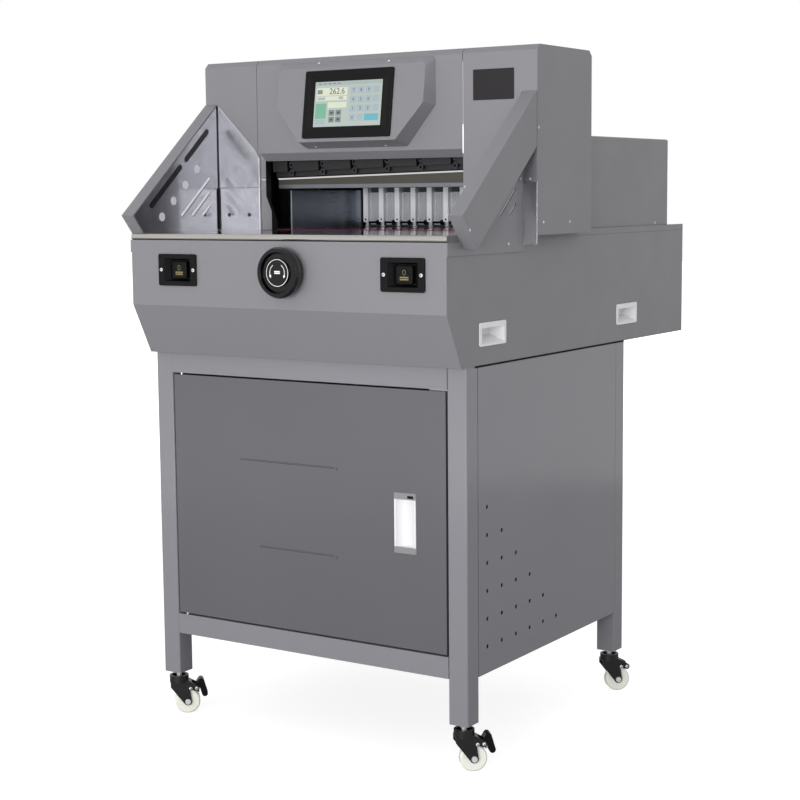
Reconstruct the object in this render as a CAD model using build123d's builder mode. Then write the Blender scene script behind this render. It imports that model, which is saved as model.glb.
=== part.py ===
from build123d import *
import os
from math import atan2, cos, degrees, radians, sin

# A programmable paper cutter on a wheeled cabinet stand, one solid or group of like solids for each piece.
# Millimetres. X runs to the right, Y to the back and Z up. The origin is on the floor, under the middle
# of the outline.

os.makedirs("parts", exist_ok=True)

# Stand
stand_width = 710.0
stand_depth = 632.0
stand_top = 735.0
leg_bottom = 88.5
tube_side = 40.0
tube_wall = 2.0
tube_corner = 3.0
foot_plate = 5.0
rail_underside = 172.0
panel_sheet = 1.5
floor_sheet = 1.5

# Door
door_gap = 3.5
door_thickness = 18.0
door_sheet = 1.5
door_recess = 0.5
pivot_inset = 12.5
pivot_radius = 3.0
pivot_depth = 11.0
pivot_boss = 7.0
pull_width = 46.0
pull_height = 111.0
pull_flange = 2.0
pull_channel_width = 40.0
pull_channel_height = 88.0
pull_depth = 12.0
pull_wall = 1.5
pull_from_edge = 63.0
pull_drop = 6.0
catch_length = 42.0
catch_depth = 14.0
catch_height = 11.0
catch_from_edge = 4.0

# Side panel vents
vent_radius = 4.0
vent_pitch_y = 53.0
vent_pitch_z = 51.4
vent_front = 71.0
vent_rise = 49.5
vent_columns = 6

# Casters
wheel_radius = 25.0
wheel_width = 20.0
wheel_chamfer = 2.5
wheel_trail = 16.0
caster_turn = 42.0
axle_radius = 3.0
axle_head_radius = 5.5
axle_head = 3.0
fork_gap = 24.0
fork_sheet = 2.5
fork_top = 68.0
fork_roof = 4.0
fork_boss = 8.0
fork_shoulder = 12.0
head_radius = 19.0
head_height = 11.0
dish_radius = 14.0
dish_depth = 6.0
stem_radius = 5.0
stem_length = 36.0
nut_flats = 16.0
nut_height = 5.0
ear_reach = 34.0
ear_height = 52.0
ear_radius = 6.0
rivet_radius = 2.5
rivet_head = 1.2
rivet_spacing = 12.0
brake_hub_radius = 5.0
brake_width = 20.0
brake_arm = 12.0
arm_reach = 9.0
arm_rise = 13.0
tread_reach = 16.5
tread_drop = 13.0
lug_reach = 2.5
lug_drop = 8.5
lug_radius = 3.0
shoe_gap = 3.2

# Console
console_height = 220.0
console_sheet = 2.0
front_overhang = 64.0
foot_setback = 16.0
kink_height = 96.0
rear_overhang = 288.0
table_thickness = 12.0
table_front_edge = 5.0
table_rear_edge = 10.0

# Recessed side grips
grip_width = 94.0
grip_height = 42.0
grip_flange = 2.0
grip_depth = 22.0
grip_wall = 2.0
grip_mouth_width = 80.0
grip_mouth_height = 28.0
grip_mouth_drop = 3.0
grip_floor_width = 46.0
grip_floor_height = 14.0
grip_corner = 4.0
grip_front_y = 91.0
grip_rear_y = 640.0
grip_rise = 55.0

# Two-hand cutting buttons and the knob
controls_middle_x = 14.0
controls_rise = 6.0
button_inset = 101.75
housing_width = 91.0
housing_height = 60.0
housing_corner = 4.0
bezel_proud = 4.0
housing_depth = 22.0
housing_wall = 2.5
pocket_width = 64.0
pocket_height = 43.0
pocket_depth = 18.0
button_width = 34.0
button_height = 32.0
button_thickness = 7.0
button_corner = 4.0
button_edge = 1.0
button_margin = 1.5
button_travel = 4.0
plunger_radius = 5.0
plunger_length = 10.0
knob_radius = 46.5
knob_thickness = 26.0
knob_gap = 2.0
knob_rim = 6.0
knob_taper = 6.0
knob_cap_radius = 25.0
knob_cap_recess = 2.0
knob_shaft_radius = 6.0
knob_shaft_length = 24.0
encoder_side = 42.0
encoder_depth = 26.0

# Head
head_setback = 269.0
head_depth = 216.0
head_height_over_table = 337.0
head_sheet = 2.0
head_chamfer = 10.0
head_foot_drop = 6.0
seam_left_outside = 6.6
seam_right_inside = 1.8
seam_gap = 1.0
cover_foot = 153.0
lip_height = 15.0
lip_depth = 17.0
kick_height = 85.0
kick_drop = 23.0
kick_rise = 5.0
kick_hole_radius = 4.0
kick_hole_height = 31.0
kick_hole_spacing = 52.0
guard_sheet = 2.0
guard_reveal = 2.0
guard_top = 255.0
guard_shoulder = 161.0
guard_low = 145.0
guard_step = 10.0

# Machine frame and throat
throat_left_margin = 109.0
throat_right_margin = 126.0
cheek_thickness = 30.0
cheek_rear_gap = 21.0
cheek_top_gap = 24.0
cheek_land = 31.0
window_depth = 66.0
window_rise = 3.0
window_top_land = 16.0
window_chamfer_width = 19.0
window_chamfer_low = 18.0
window_chamfer_high = 56.0
beam_top_gap = 25.0
beam_height = 120.0
beam_depth = 72.0
beam_wall = 16.0

# Knife and its carrier. The edge lies lower at the left until the carrier swings level on its way down.
carrier_setback = 35.0
carrier_thickness = 11.0
carrier_height = 120.0
carrier_over_edge = 15.0
carrier_end_gap = 4.0
knife_tilt = 1.33
knife_over_clamp = 18.0
knife_thickness = 8.0
knife_height = 95.0
knife_bevel = 5.0
knife_stop_gap = 0.3
bolt_count = 6
bolt_end = 45.0
bolt_radius = 6.0
bolt_head = 7.0
bolt_low_over_edge = 12.0
bolt_high_over_edge = 28.0
bolt_socket = 3.0
slot_margin = 1.0
slot_over_edge = 40.0
block_height = 50.0
block_pin_over_edge = 112.0
block_pin_radius = 6.0
block_pin_inset = 14.0
tongue_height = 26.0
tongue_length = 28.0
tongue_thickness = 10.0
slide_gap = 0.3

# Clamp
clamp_setback = 57.0
clamp_depth = 41.0
clamp_under_beam = 23.0
clamp_height = 62.0
clamp_end_gap = 1.5
clamp_edge = 3.0
clamp_rod_radius = 9.0
clamp_rod_inset = 87.5
clamp_rod_over_beam = 20.0

# Cutting stick
stick_setback = 46.5
stick_width = 10.0
stick_height = 10.0
stick_proud = 0.5
stick_land = 12.0

# Rear table, side guides and back gauge
guide_thickness = 3.0
guide_height = 79.0
guide_front_setback = 99.0
guide_end_gap = 1.0
gauge_rest_setback = 355.0
gauge_forward_travel = 254.0
gauge_side_gap = 3.0
gauge_lift = 0.5
gauge_height = 85.0
gauge_back_depth = 38.0
gauge_wall = 6.0
finger_count = 12
finger_width = 12.0
finger_depth = 14.0
finger_height = 73.0
finger_foot = 5.0
finger_neck_width = 5.0
finger_neck_height = 5.0
gauge_slot_width = 24.0
gauge_slot_over = 6.0
gauge_neck = 19.0
gauge_neck_depth = 30.0
rail_drop = 35.0
rail_radius = 8.0
rail_spread = 60.0
screw_radius = 10.0
journal_radius = 6.0
carriage_half_width = 75.0
carriage_height = 40.0
bracket_thickness = 12.0
bracket_half_width = 82.0
bracket_height = 57.0
bracket_front_gap = 6.0
bracket_rear_gap = 80.0
bracket_fillet = 8.0
running_gap = 0.05

# Drive motors
motor_radius = 55.0
motor_length = 170.0
motor_fin = 4.0
motor_fin_count = 8
gearbox_width = 120.0
gearbox_depth = 130.0
gearbox_height = 140.0
gearbox_edge = 8.0
motor_setback = 150.0
motor_x = 30.0
gauge_motor_side = 57.0
gauge_motor_length = 50.0
gauge_motor_gap = 6.0

# Rear hood
hood_inset = 5.0
hood_end_gap = 68.0
hood_height = 180.0
hood_sheet = 2.0
hood_edge = 4.0

# Screen pod and touch screen
pod_lean = 8.1
pod_half_width = 181.0
pod_half_foot = 118.0
pod_foot = 160.0
pod_shoulder = 236.0
pod_top = 326.0
pod_corner = 8.0
pod_inset = 11.0
pod_face_foot = 172.0
pod_face_proud = 37.0
bezel_width = 205.0
bezel_height = 131.0
bezel_thickness = 4.0
bezel_corner = 4.0
bezel_over_face_foot = 72.0
screen_width = 157.0
screen_height = 88.0
screen_sheet = 3.0
screen_recess = 1.0
case_width = 188.0
case_height = 114.0
case_depth = 14.0
case_gap = 0.5

# Safety wings
wing_thickness = 27.0
wing_sheet = 2.0
wing_strip = 76.0
wing_nose_back = 6.0
wing_nose_rise = 34.0
wing_skirt_drop = 24.0
light_inset = 19.0
light_width = 9.0
light_depth = 3.0
light_first_start = 48.0
light_first_length = 112.0
light_second_start = 188.0
light_second_length = 83.0
louvre_count = 3
louvre_drop = 27.3
louvre_width = 4.0
louvre_start_back = 31.0
louvre_start_rise = 106.0
louvre_foot_rise = 31.0
liner_sheet = 1.0
liner_height = 83.0
liner_inset = 50.0

fit_gap = 0.5

# Planes and heights that follow from the sizes above
overall_depth = knob_thickness + knob_gap + front_overhang + stand_depth + rear_overhang
console_front = knob_thickness + knob_gap - overall_depth / 2
stand_front = console_front + front_overhang
stand_rear = stand_front + stand_depth
console_rear = stand_rear + rear_overhang
foot_y = stand_front - foot_setback
console_top = stand_top + console_height
table_top = console_top + table_thickness
half_width = stand_width / 2
head_half_width = half_width + wing_sheet + wing_thickness
head_front = console_front + head_setback
head_rear = head_front + head_depth
head_top = table_top + head_height_over_table
head_foot = table_top - head_foot_drop
throat_left = throat_left_margin - half_width
throat_right = half_width - throat_right_margin
throat_middle = (throat_left + throat_right) / 2
throat_width = throat_right - throat_left
cover_seam_left = throat_left - seam_left_outside
cover_seam_right = throat_right - seam_right_inside
cheek_top = head_top - cheek_top_gap
beam_foot = cheek_top - beam_top_gap - beam_height
clamp_foot = beam_foot - clamp_under_beam - clamp_height
knife_edge_left = clamp_foot + knife_over_clamp
leg_x = (stand_width - tube_side) / 2
leg_front_y = stand_front + tube_side / 2
leg_rear_y = stand_rear - tube_side / 2
leg_places = {
    "front_left": (-leg_x, leg_front_y),
    "front_right": (leg_x, leg_front_y),
    "rear_left": (-leg_x, leg_rear_y),
    "rear_right": (leg_x, leg_rear_y),
}
opening_half = stand_width / 2 - tube_side
top_rail_foot = stand_top - tube_side
low_rail_top = rail_underside + tube_side
leg_inner_front = stand_front + tube_side
leg_inner_rear = stand_rear - tube_side


# Upright plane across the machine at a given depth. It faces the front, so a negative extrusion goes back.
def across(y):
    return Plane.XZ.offset(-y)


# Upright plane along the machine at a given place from side to side. It faces the right.
def along(x):
    return Plane.YZ.offset(x)


# Square-tube legs with a plate in each foot for the caster's stem
with BuildPart() as stand_legs:
    with BuildSketch(Plane.XY.offset(leg_bottom)):
        with Locations(*leg_places.values()):
            RectangleRounded(tube_side, tube_side, tube_corner)
            Rectangle(tube_side - 2 * tube_wall, tube_side - 2 * tube_wall, mode=Mode.SUBTRACT)
    extrude(amount=stand_top - leg_bottom)
    with BuildSketch(Plane.XY.offset(leg_bottom)):
        with Locations(*leg_places.values()):
            Rectangle(tube_side - 2 * tube_wall, tube_side - 2 * tube_wall)
            Circle(stem_radius + running_gap, mode=Mode.SUBTRACT)
    extrude(amount=foot_plate)
stand_legs.part.label = "stand_legs"
export_step(stand_legs.part, "parts/stand_legs.step")

# Rails between the legs, level with the legs at the front and set in by the panel's sheet elsewhere
rail_depth = tube_side - panel_sheet
rail_x = opening_half + rail_depth / 2
rail_heights = [rail_underside + tube_side / 2, stand_top - tube_side / 2]
with BuildPart() as stand_rails:
    with BuildSketch(Plane.YZ):
        with Locations(*[(leg_front_y, z) for z in rail_heights]):
            Rectangle(tube_side, tube_side)
            Rectangle(tube_side - 2 * tube_wall, tube_side - 2 * tube_wall, mode=Mode.SUBTRACT)
        with Locations(*[(leg_inner_rear + rail_depth / 2, z) for z in rail_heights]):
            Rectangle(rail_depth, tube_side)
            Rectangle(rail_depth - 2 * tube_wall, tube_side - 2 * tube_wall, mode=Mode.SUBTRACT)
    extrude(amount=opening_half, both=True)
    with BuildSketch(across(leg_inner_front)):
        with Locations(*[(x, z) for x in (-rail_x, rail_x) for z in rail_heights]):
            Rectangle(rail_depth, tube_side)
            Rectangle(rail_depth - 2 * tube_wall, tube_side - 2 * tube_wall, mode=Mode.SUBTRACT)
    extrude(amount=leg_inner_front - leg_inner_rear)
stand_rails.part.label = "stand_rails"
export_step(stand_rails.part, "parts/stand_rails.step")

# Side panels with a triangle of vent holes, flush with the legs
panel_length = leg_inner_rear - leg_inner_front
panel_height = stand_top - rail_underside
vent_places = [
    (stand_front + vent_front + column * vent_pitch_y, rail_underside + vent_rise + row * vent_pitch_z)
    for column in range(vent_columns)
    for row in range(vent_columns - column)
]
with BuildPart() as side_panels:
    with BuildSketch(along(half_width - panel_sheet)):
        with Locations((leg_inner_front + panel_length / 2, rail_underside + panel_height / 2)):
            Rectangle(panel_length, panel_height)
        with Locations(*vent_places):
            Circle(vent_radius, mode=Mode.SUBTRACT)
    extrude(amount=panel_sheet)
    mirror(about=Plane.YZ)
side_panels.part.label = "side_panels"
export_step(side_panels.part, "parts/side_panels.step")

with BuildPart() as back_panel:
    with BuildSketch(across(stand_rear - panel_sheet)):
        with Locations((0, rail_underside + panel_height / 2)):
            Rectangle(2 * opening_half, panel_height)
    extrude(amount=-panel_sheet)
back_panel.part.label = "back_panel"
export_step(back_panel.part, "parts/back_panel.step")

# Cabinet floor, notched round the legs and lying on the low rails
floor_front = stand_front + door_recess + door_thickness + door_gap
with BuildPart() as cabinet_floor:
    with BuildSketch(Plane.XY.offset(low_rail_top)):
        with Locations((0, (floor_front + stand_rear - panel_sheet) / 2)):
            Rectangle(2 * (half_width - panel_sheet), stand_rear - panel_sheet - floor_front)
        with Locations(*leg_places.values()):
            Rectangle(tube_side, tube_side, mode=Mode.SUBTRACT)
    extrude(amount=floor_sheet)
cabinet_floor.part.label = "cabinet_floor"
export_step(cabinet_floor.part, "parts/cabinet_floor.step")

# Door: a folded pan that turns on two pins near its left edge, with a pocket hole for its pull
door_front = stand_front + door_recess
door_half = opening_half - door_gap
door_foot = low_rail_top + door_gap
door_height = top_rail_foot - low_rail_top - 2 * door_gap
door_middle_z = door_foot + door_height / 2
pivot_x = pivot_inset - door_half
pivot_y = door_front + door_thickness / 2
pull_x = door_half - pull_from_edge - pull_width / 2
pull_middle_z = door_middle_z - pull_drop
pull_front = door_front - pull_flange
pull_hole_width = pull_channel_width + 2 * pull_wall
pull_hole_height = pull_channel_height + 2 * pull_wall
with BuildPart() as door_panel:
    with BuildSketch(across(door_front)):
        with Locations((0, door_middle_z)):
            Rectangle(2 * door_half, door_height)
    extrude(amount=-door_thickness)
    with BuildSketch(across(door_front + door_sheet)):
        with Locations((0, door_middle_z)):
            Rectangle(2 * (door_half - door_sheet), door_height - 2 * door_sheet)
    extrude(amount=-door_thickness, mode=Mode.SUBTRACT)
    with BuildSketch(across(door_front)):
        with Locations((pull_x, pull_middle_z)):
            Rectangle(pull_hole_width + 2 * fit_gap, pull_hole_height + 2 * fit_gap)
    extrude(amount=-door_sheet, mode=Mode.SUBTRACT)
    with BuildSketch(Plane.XY.offset(door_foot)):
        with Locations((pivot_x, pivot_y)):
            Rectangle(2 * pivot_boss, door_thickness - 2 * door_sheet)
    extrude(amount=pivot_depth + door_sheet)
    with BuildSketch(Plane.XY.offset(door_foot + door_height)):
        with Locations((pivot_x, pivot_y)):
            Rectangle(2 * pivot_boss, door_thickness - 2 * door_sheet)
    extrude(amount=-pivot_depth - door_sheet)
    with BuildSketch(Plane.XY.offset(door_foot)):
        with Locations((pivot_x, pivot_y)):
            Circle(pivot_radius + running_gap)
    extrude(amount=pivot_depth, mode=Mode.SUBTRACT)
    with BuildSketch(Plane.XY.offset(door_foot + door_height)):
        with Locations((pivot_x, pivot_y)):
            Circle(pivot_radius + running_gap)
    extrude(amount=-pivot_depth, mode=Mode.SUBTRACT)
door_panel.part.label = "door_panel"
export_step(door_panel.part, "parts/door_panel.step")

# Pull handle: a flange on the door's face round a channel with a curved floor for the fingers
channel_half = pull_channel_width / 2
with BuildPart() as door_handle:
    with BuildSketch(across(door_front)):
        with Locations((pull_x, pull_middle_z)):
            RectangleRounded(pull_width, pull_height, pull_flange)
    extrude(amount=pull_flange)
    with BuildSketch(across(door_front)):
        with Locations((pull_x, pull_middle_z)):
            Rectangle(pull_hole_width, pull_hole_height)
    extrude(amount=pull_flange - pull_depth - pull_wall)
    with BuildSketch(Plane.XY.offset(pull_middle_z)):
        with BuildLine():
            ThreePointArc(
                (pull_x - channel_half, pull_front),
                (pull_x, pull_front + pull_depth),
                (pull_x + channel_half, pull_front),
            )
            Line((pull_x + channel_half, pull_front), (pull_x - channel_half, pull_front))
        make_face()
    extrude(amount=pull_channel_height / 2, both=True, mode=Mode.SUBTRACT)
door_handle.part.label = "door_handle"
export_step(door_handle.part, "parts/door_handle.step")

# Pivot pins between the door and the rails above and below it
pin_reach = door_gap + pivot_depth - fit_gap
with BuildPart() as hinge_pins:
    with BuildSketch(Plane.XY.offset(low_rail_top)):
        with Locations((pivot_x, pivot_y)):
            Circle(pivot_radius)
    extrude(amount=pin_reach)
    with BuildSketch(Plane.XY.offset(top_rail_foot)):
        with Locations((pivot_x, pivot_y)):
            Circle(pivot_radius)
    extrude(amount=-pin_reach)
hinge_pins.part.label = "hinge_pins"
export_step(hinge_pins.part, "parts/hinge_pins.step")

# Catch under the top rail, behind the door's free corner
catch_x = door_half - catch_from_edge - catch_length / 2
catch_front = door_front + door_thickness + fit_gap
with BuildPart() as door_catch:
    with BuildSketch(Plane.XY.offset(top_rail_foot)):
        with Locations((catch_x, catch_front + catch_depth / 2)):
            Rectangle(catch_length, catch_depth)
    extrude(amount=-catch_height)
    fillet(door_catch.edges().filter_by(Axis.Z), pull_flange)
door_catch.part.label = "door_catch"
export_step(door_catch.part, "parts/door_catch.step")

# Threaded stems with a nut under each leg
stem_foot = fork_top + head_height - dish_depth
with BuildPart() as caster_stems:
    with BuildSketch(Plane.XY.offset(stem_foot - fork_roof)):
        with Locations(*leg_places.values()):
            Circle(stem_radius)
    extrude(amount=stem_length)
    with BuildSketch(Plane.XY.offset(leg_bottom)):
        with Locations(*leg_places.values()):
            RegularPolygon(nut_flats / 2, 6, major_radius=False)
    extrude(amount=-nut_height)
caster_stems.part.label = "caster_stems"
export_step(caster_stems.part, "parts/caster_stems.step")

# Casters. Each one trails the same way, so its parts are drawn in an upright plane along that way.
fork_outer = fork_gap + 2 * fork_sheet
shoe_radius = wheel_radius + shoe_gap


# Upright plane through a caster's stem. Its x runs the way the wheel trails and its y runs up.
def trailing_plane(place):
    x, y = place
    turn = radians(caster_turn)
    return Plane(origin=(x, y, 0), x_dir=(cos(turn), sin(turn), 0), z_dir=(sin(turn), -cos(turn), 0))


for corner, place in leg_places.items():
    side_plane = trailing_plane(place)

    # Fork: swept cheeks under a dished swivel head, with an ear that takes the brake's pin
    with BuildPart() as caster_fork:
        with BuildSketch(side_plane):
            with Locations((wheel_trail, wheel_radius)):
                Circle(fork_boss)
            with Locations((0, fork_top - fork_shoulder / 2)):
                Rectangle(2 * head_radius - fork_sheet, fork_shoulder)
            make_hull()
        extrude(amount=fork_outer / 2, both=True)
        with BuildSketch(side_plane):
            with Locations((ear_reach, ear_height)):
                Circle(ear_radius)
            with Locations((head_radius / 2, fork_top - fork_shoulder / 2)):
                Rectangle(head_radius - fork_sheet, fork_shoulder)
            make_hull()
        extrude(amount=fork_outer / 2, both=True)
        with BuildSketch(side_plane):
            with Locations((wheel_trail, (fork_top - fork_roof) / 2)):
                Rectangle(4 * head_radius, fork_top - fork_roof)
        extrude(amount=fork_gap / 2, both=True, mode=Mode.SUBTRACT)
        with BuildSketch(Plane.XY.offset(fork_top - fork_roof)):
            with Locations(place):
                Circle(head_radius)
        extrude(amount=head_height + fork_roof)
        with BuildSketch(Plane.XY.offset(fork_top + head_height)):
            with Locations(place):
                Circle(dish_radius)
        extrude(amount=-dish_depth, mode=Mode.SUBTRACT)
        with BuildSketch(Plane.XY.offset(fork_top + head_height)):
            with Locations(place):
                Circle(stem_radius + running_gap)
        extrude(amount=-head_height - fork_roof, mode=Mode.SUBTRACT)
        with BuildSketch(side_plane):
            with Locations((wheel_trail, wheel_radius)):
                Circle(axle_radius + running_gap)
        extrude(amount=fork_outer, both=True, mode=Mode.SUBTRACT)
        with BuildSketch(side_plane):
            with Locations((ear_reach, ear_height), (ear_reach - rivet_spacing, ear_height)):
                Circle(rivet_radius)
        extrude(amount=fork_outer / 2 + rivet_head, both=True)
        if corner.startswith("rear"):
            with BuildSketch(side_plane):
                with Locations((ear_reach, ear_height)):
                    Circle(2 * rivet_radius)
            extrude(amount=fork_gap / 2, both=True, mode=Mode.SUBTRACT)
        with BuildSketch(side_plane):
            with Locations((ear_reach - rivet_spacing, ear_height)):
                Circle(2 * rivet_radius)
        extrude(amount=fork_gap / 2, both=True, mode=Mode.SUBTRACT)
    caster_fork.part.label = f"caster_fork_{corner}"
    export_step(caster_fork.part, f"parts/caster_fork_{corner}.step")

    # Wheel with bevelled shoulders and a raised hub
    with BuildPart() as caster_wheel:
        with BuildSketch(side_plane):
            with Locations((wheel_trail, wheel_radius)):
                Circle(wheel_radius)
        extrude(amount=wheel_width / 2, both=True)
        chamfer(caster_wheel.edges(), wheel_chamfer)
        with BuildSketch(side_plane):
            with Locations((wheel_trail, wheel_radius)):
                Circle(fork_boss)
        extrude(amount=fork_gap / 2 - running_gap, both=True)
        with BuildSketch(side_plane):
            with Locations((wheel_trail, wheel_radius)):
                Circle(axle_radius + running_gap)
        extrude(amount=fork_gap, both=True, mode=Mode.SUBTRACT)
    caster_wheel.part.label = f"caster_wheel_{corner}"
    export_step(caster_wheel.part, f"parts/caster_wheel_{corner}.step")

    # Axle bolt with a head on one side and a nut on the other
    with BuildPart() as caster_axle:
        with BuildSketch(side_plane):
            with Locations((wheel_trail, wheel_radius)):
                Circle(axle_radius)
        extrude(amount=fork_outer / 2, both=True)
        with BuildSketch(side_plane.offset(fork_outer / 2)):
            with Locations((wheel_trail, wheel_radius)):
                Circle(axle_head_radius)
        extrude(amount=axle_head)
        with BuildSketch(side_plane.offset(-fork_outer / 2)):
            with Locations((wheel_trail, wheel_radius)):
                RegularPolygon(axle_head_radius, 6)
        extrude(amount=-axle_head)
    caster_axle.part.label = f"caster_axle_{corner}"
    export_step(caster_axle.part, f"parts/caster_axle_{corner}.step")

    # Brake pedal: a hub on the fork's rivet, an arm up to a slanted tread, and a lug that meets the tyre
    if corner.startswith("front"):
        arm_end = (ear_reach + arm_reach, ear_height + arm_rise)
        tread_end = (ear_reach + tread_reach, ear_height - tread_drop)
        with BuildPart() as caster_brake:
            with BuildSketch(side_plane):
                with Locations((ear_reach, ear_height)):
                    Circle(brake_hub_radius)
                with Locations(arm_end):
                    Circle(brake_arm / 2)
                make_hull()
            extrude(amount=brake_width / 2, both=True)
            with BuildSketch(side_plane):
                with Locations(arm_end, tread_end):
                    Circle(brake_arm / 2)
                make_hull()
            extrude(amount=brake_width / 2, both=True)
            with BuildSketch(side_plane):
                with Locations((ear_reach, ear_height)):
                    Circle(brake_hub_radius)
                with Locations((ear_reach + lug_reach, ear_height - lug_drop)):
                    Circle(lug_radius)
                make_hull()
            extrude(amount=brake_width / 2, both=True)
            with BuildSketch(side_plane):
                with Locations((ear_reach, ear_height)):
                    Circle(rivet_radius + running_gap)
            extrude(amount=brake_width, both=True, mode=Mode.SUBTRACT)
            with BuildSketch(side_plane):
                with Locations((wheel_trail, wheel_radius)):
                    Circle(shoe_radius)
            extrude(amount=brake_width, both=True, mode=Mode.SUBTRACT)
        caster_brake.part.label = f"caster_brake_{corner}"
        export_step(caster_brake.part, f"parts/caster_brake_{corner}.step")

# Console base pan on the stand's top
slope_run = front_overhang - foot_setback
skin_reach = console_sheet / cos(atan2(slope_run, kink_height))
kink_z = stand_top + kink_height
inner_kink_z = stand_top + (foot_y + skin_reach - console_front - console_sheet) * kink_height / slope_run
base_front = foot_y + skin_reach
base_rear = console_rear - console_sheet
with BuildPart() as console_base:
    with BuildSketch(Plane.XY.offset(stand_top)):
        with Locations((0, (base_front + base_rear) / 2)):
            Rectangle(2 * (half_width - console_sheet), base_rear - base_front)
    extrude(amount=console_sheet)
console_base.part.label = "console_base"
export_step(console_base.part, "parts/console_base.step")

# Bent front cover: an upright face over a foot that slopes in, with holes for the housings and the knob
button_places = {
    "left": controls_middle_x - half_width + button_inset,
    "right": controls_middle_x + half_width - button_inset,
}
controls_z = (kink_z + console_top) / 2 + controls_rise
housing_body_width = pocket_width + 2 * housing_wall
housing_body_height = pocket_height + 2 * housing_wall
with BuildPart() as console_front_cover:
    with BuildSketch(along(half_width)):
        with BuildLine():
            Polyline(
                (console_front, console_top),
                (console_front, kink_z),
                (foot_y, stand_top),
                (base_front, stand_top),
                (console_front + console_sheet, inner_kink_z),
                (console_front + console_sheet, console_top),
                close=True,
            )
        make_face()
    extrude(amount=-stand_width)
    with BuildSketch(across(console_front)):
        with Locations(*[(x, controls_z) for x in button_places.values()]):
            Rectangle(housing_body_width + 2 * fit_gap, housing_body_height + 2 * fit_gap)
        with Locations((controls_middle_x, controls_z)):
            Circle(knob_shaft_radius + fit_gap)
    extrude(amount=-console_sheet, mode=Mode.SUBTRACT)
console_front_cover.part.label = "console_front"
export_step(console_front_cover.part, "parts/console_front.step")

# Console shell: the two sides and the back, with holes for the side grips
grip_middle_z = stand_top + grip_rise
grip_places = [(stand_front + y, grip_middle_z) for y in (grip_front_y, grip_rear_y)]
grip_body_width = grip_mouth_width + 2 * grip_wall
grip_body_height = grip_mouth_height + 2 * grip_wall
with BuildPart() as console_shell:
    with BuildSketch(along(half_width)):
        with BuildLine():
            Polyline(
                (console_front + console_sheet, console_top),
                (console_front + console_sheet, inner_kink_z),
                (base_front, stand_top),
                (console_rear, stand_top),
                (console_rear, console_top),
                close=True,
            )
        make_face()
        with Locations(*[(y, z - grip_mouth_drop) for y, z in grip_places]):
            Rectangle(grip_body_width + 2 * fit_gap, grip_body_height + 2 * fit_gap, mode=Mode.SUBTRACT)
    extrude(amount=-console_sheet)
    mirror(about=Plane.YZ)
    with BuildSketch(across(base_rear)):
        with Locations((0, stand_top + console_height / 2)):
            Rectangle(stand_width, console_height)
    extrude(amount=-console_sheet)
console_shell.part.label = "console_shell"
export_step(console_shell.part, "parts/console_shell.step")

# Recessed hand grips, each a flange round a scoop whose lower face slopes up to its floor
grip_floor_rise = (grip_mouth_height - grip_floor_height) / 2 - grip_mouth_drop
with BuildPart() as side_grips:
    with BuildSketch(along(half_width)):
        with Locations(*grip_places):
            RectangleRounded(grip_width, grip_height, grip_corner)
    extrude(amount=grip_flange)
    for y, z in grip_places:
        with BuildSketch(along(half_width)):
            with Locations((y, z - grip_mouth_drop)):
                Rectangle(grip_body_width, grip_body_height)
        with BuildSketch(along(half_width - grip_depth)):
            with Locations((y, z + grip_floor_rise)):
                Rectangle(grip_floor_width + 2 * grip_wall, grip_floor_height + 2 * grip_wall)
        loft()
        with BuildSketch(along(half_width + grip_flange)):
            with Locations((y, z - grip_mouth_drop)):
                Rectangle(grip_mouth_width, grip_mouth_height)
        with BuildSketch(along(half_width - grip_depth + grip_wall)):
            with Locations((y, z + grip_floor_rise)):
                Rectangle(grip_floor_width, grip_floor_height)
        loft(mode=Mode.SUBTRACT)
    mirror(about=Plane.YZ)
side_grips.part.label = "side_grips"
export_step(side_grips.part, "parts/side_grips.step")

# Button housings: a proud bezel round a pocket that narrows to the button
with BuildPart() as button_housings:
    for x in button_places.values():
        with BuildSketch(across(console_front)):
            with Locations((x, controls_z)):
                RectangleRounded(housing_width, housing_height, housing_corner)
        extrude(amount=bezel_proud)
        with BuildSketch(across(console_front)):
            with Locations((x, controls_z)):
                Rectangle(housing_body_width, housing_body_height)
        extrude(amount=-housing_depth)
        with BuildSketch(across(console_front - bezel_proud)):
            with Locations((x, controls_z)):
                Rectangle(pocket_width, pocket_height)
        with BuildSketch(across(console_front - bezel_proud + pocket_depth)):
            with Locations((x, controls_z)):
                Rectangle(button_width + 2 * button_margin, button_height + 2 * button_margin)
        loft(mode=Mode.SUBTRACT)
        with BuildSketch(across(console_front)):
            with Locations((x, controls_z)):
                Circle(plunger_radius + running_gap)
        extrude(amount=-housing_depth, mode=Mode.SUBTRACT)
button_housings.part.label = "button_housings"
export_step(button_housings.part, "parts/button_housings.step")

# Cutting buttons on plungers that slide in the housings
button_back_y = console_front - bezel_proud + pocket_depth - button_travel - fit_gap
for side, x in button_places.items():
    with BuildPart() as cut_button:
        with BuildSketch(across(button_back_y)):
            with Locations((x, controls_z)):
                RectangleRounded(button_width, button_height, button_corner)
        extrude(amount=button_thickness)
        chamfer(cut_button.faces().sort_by(Axis.Y)[0].edges(), button_edge)
        with BuildSketch(across(button_back_y)):
            with Locations((x, controls_z)):
                Circle(plunger_radius)
        extrude(amount=-plunger_length)
    cut_button.part.label = f"cut_button_{side}"
    export_step(cut_button.part, f"parts/cut_button_{side}.step")

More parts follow.
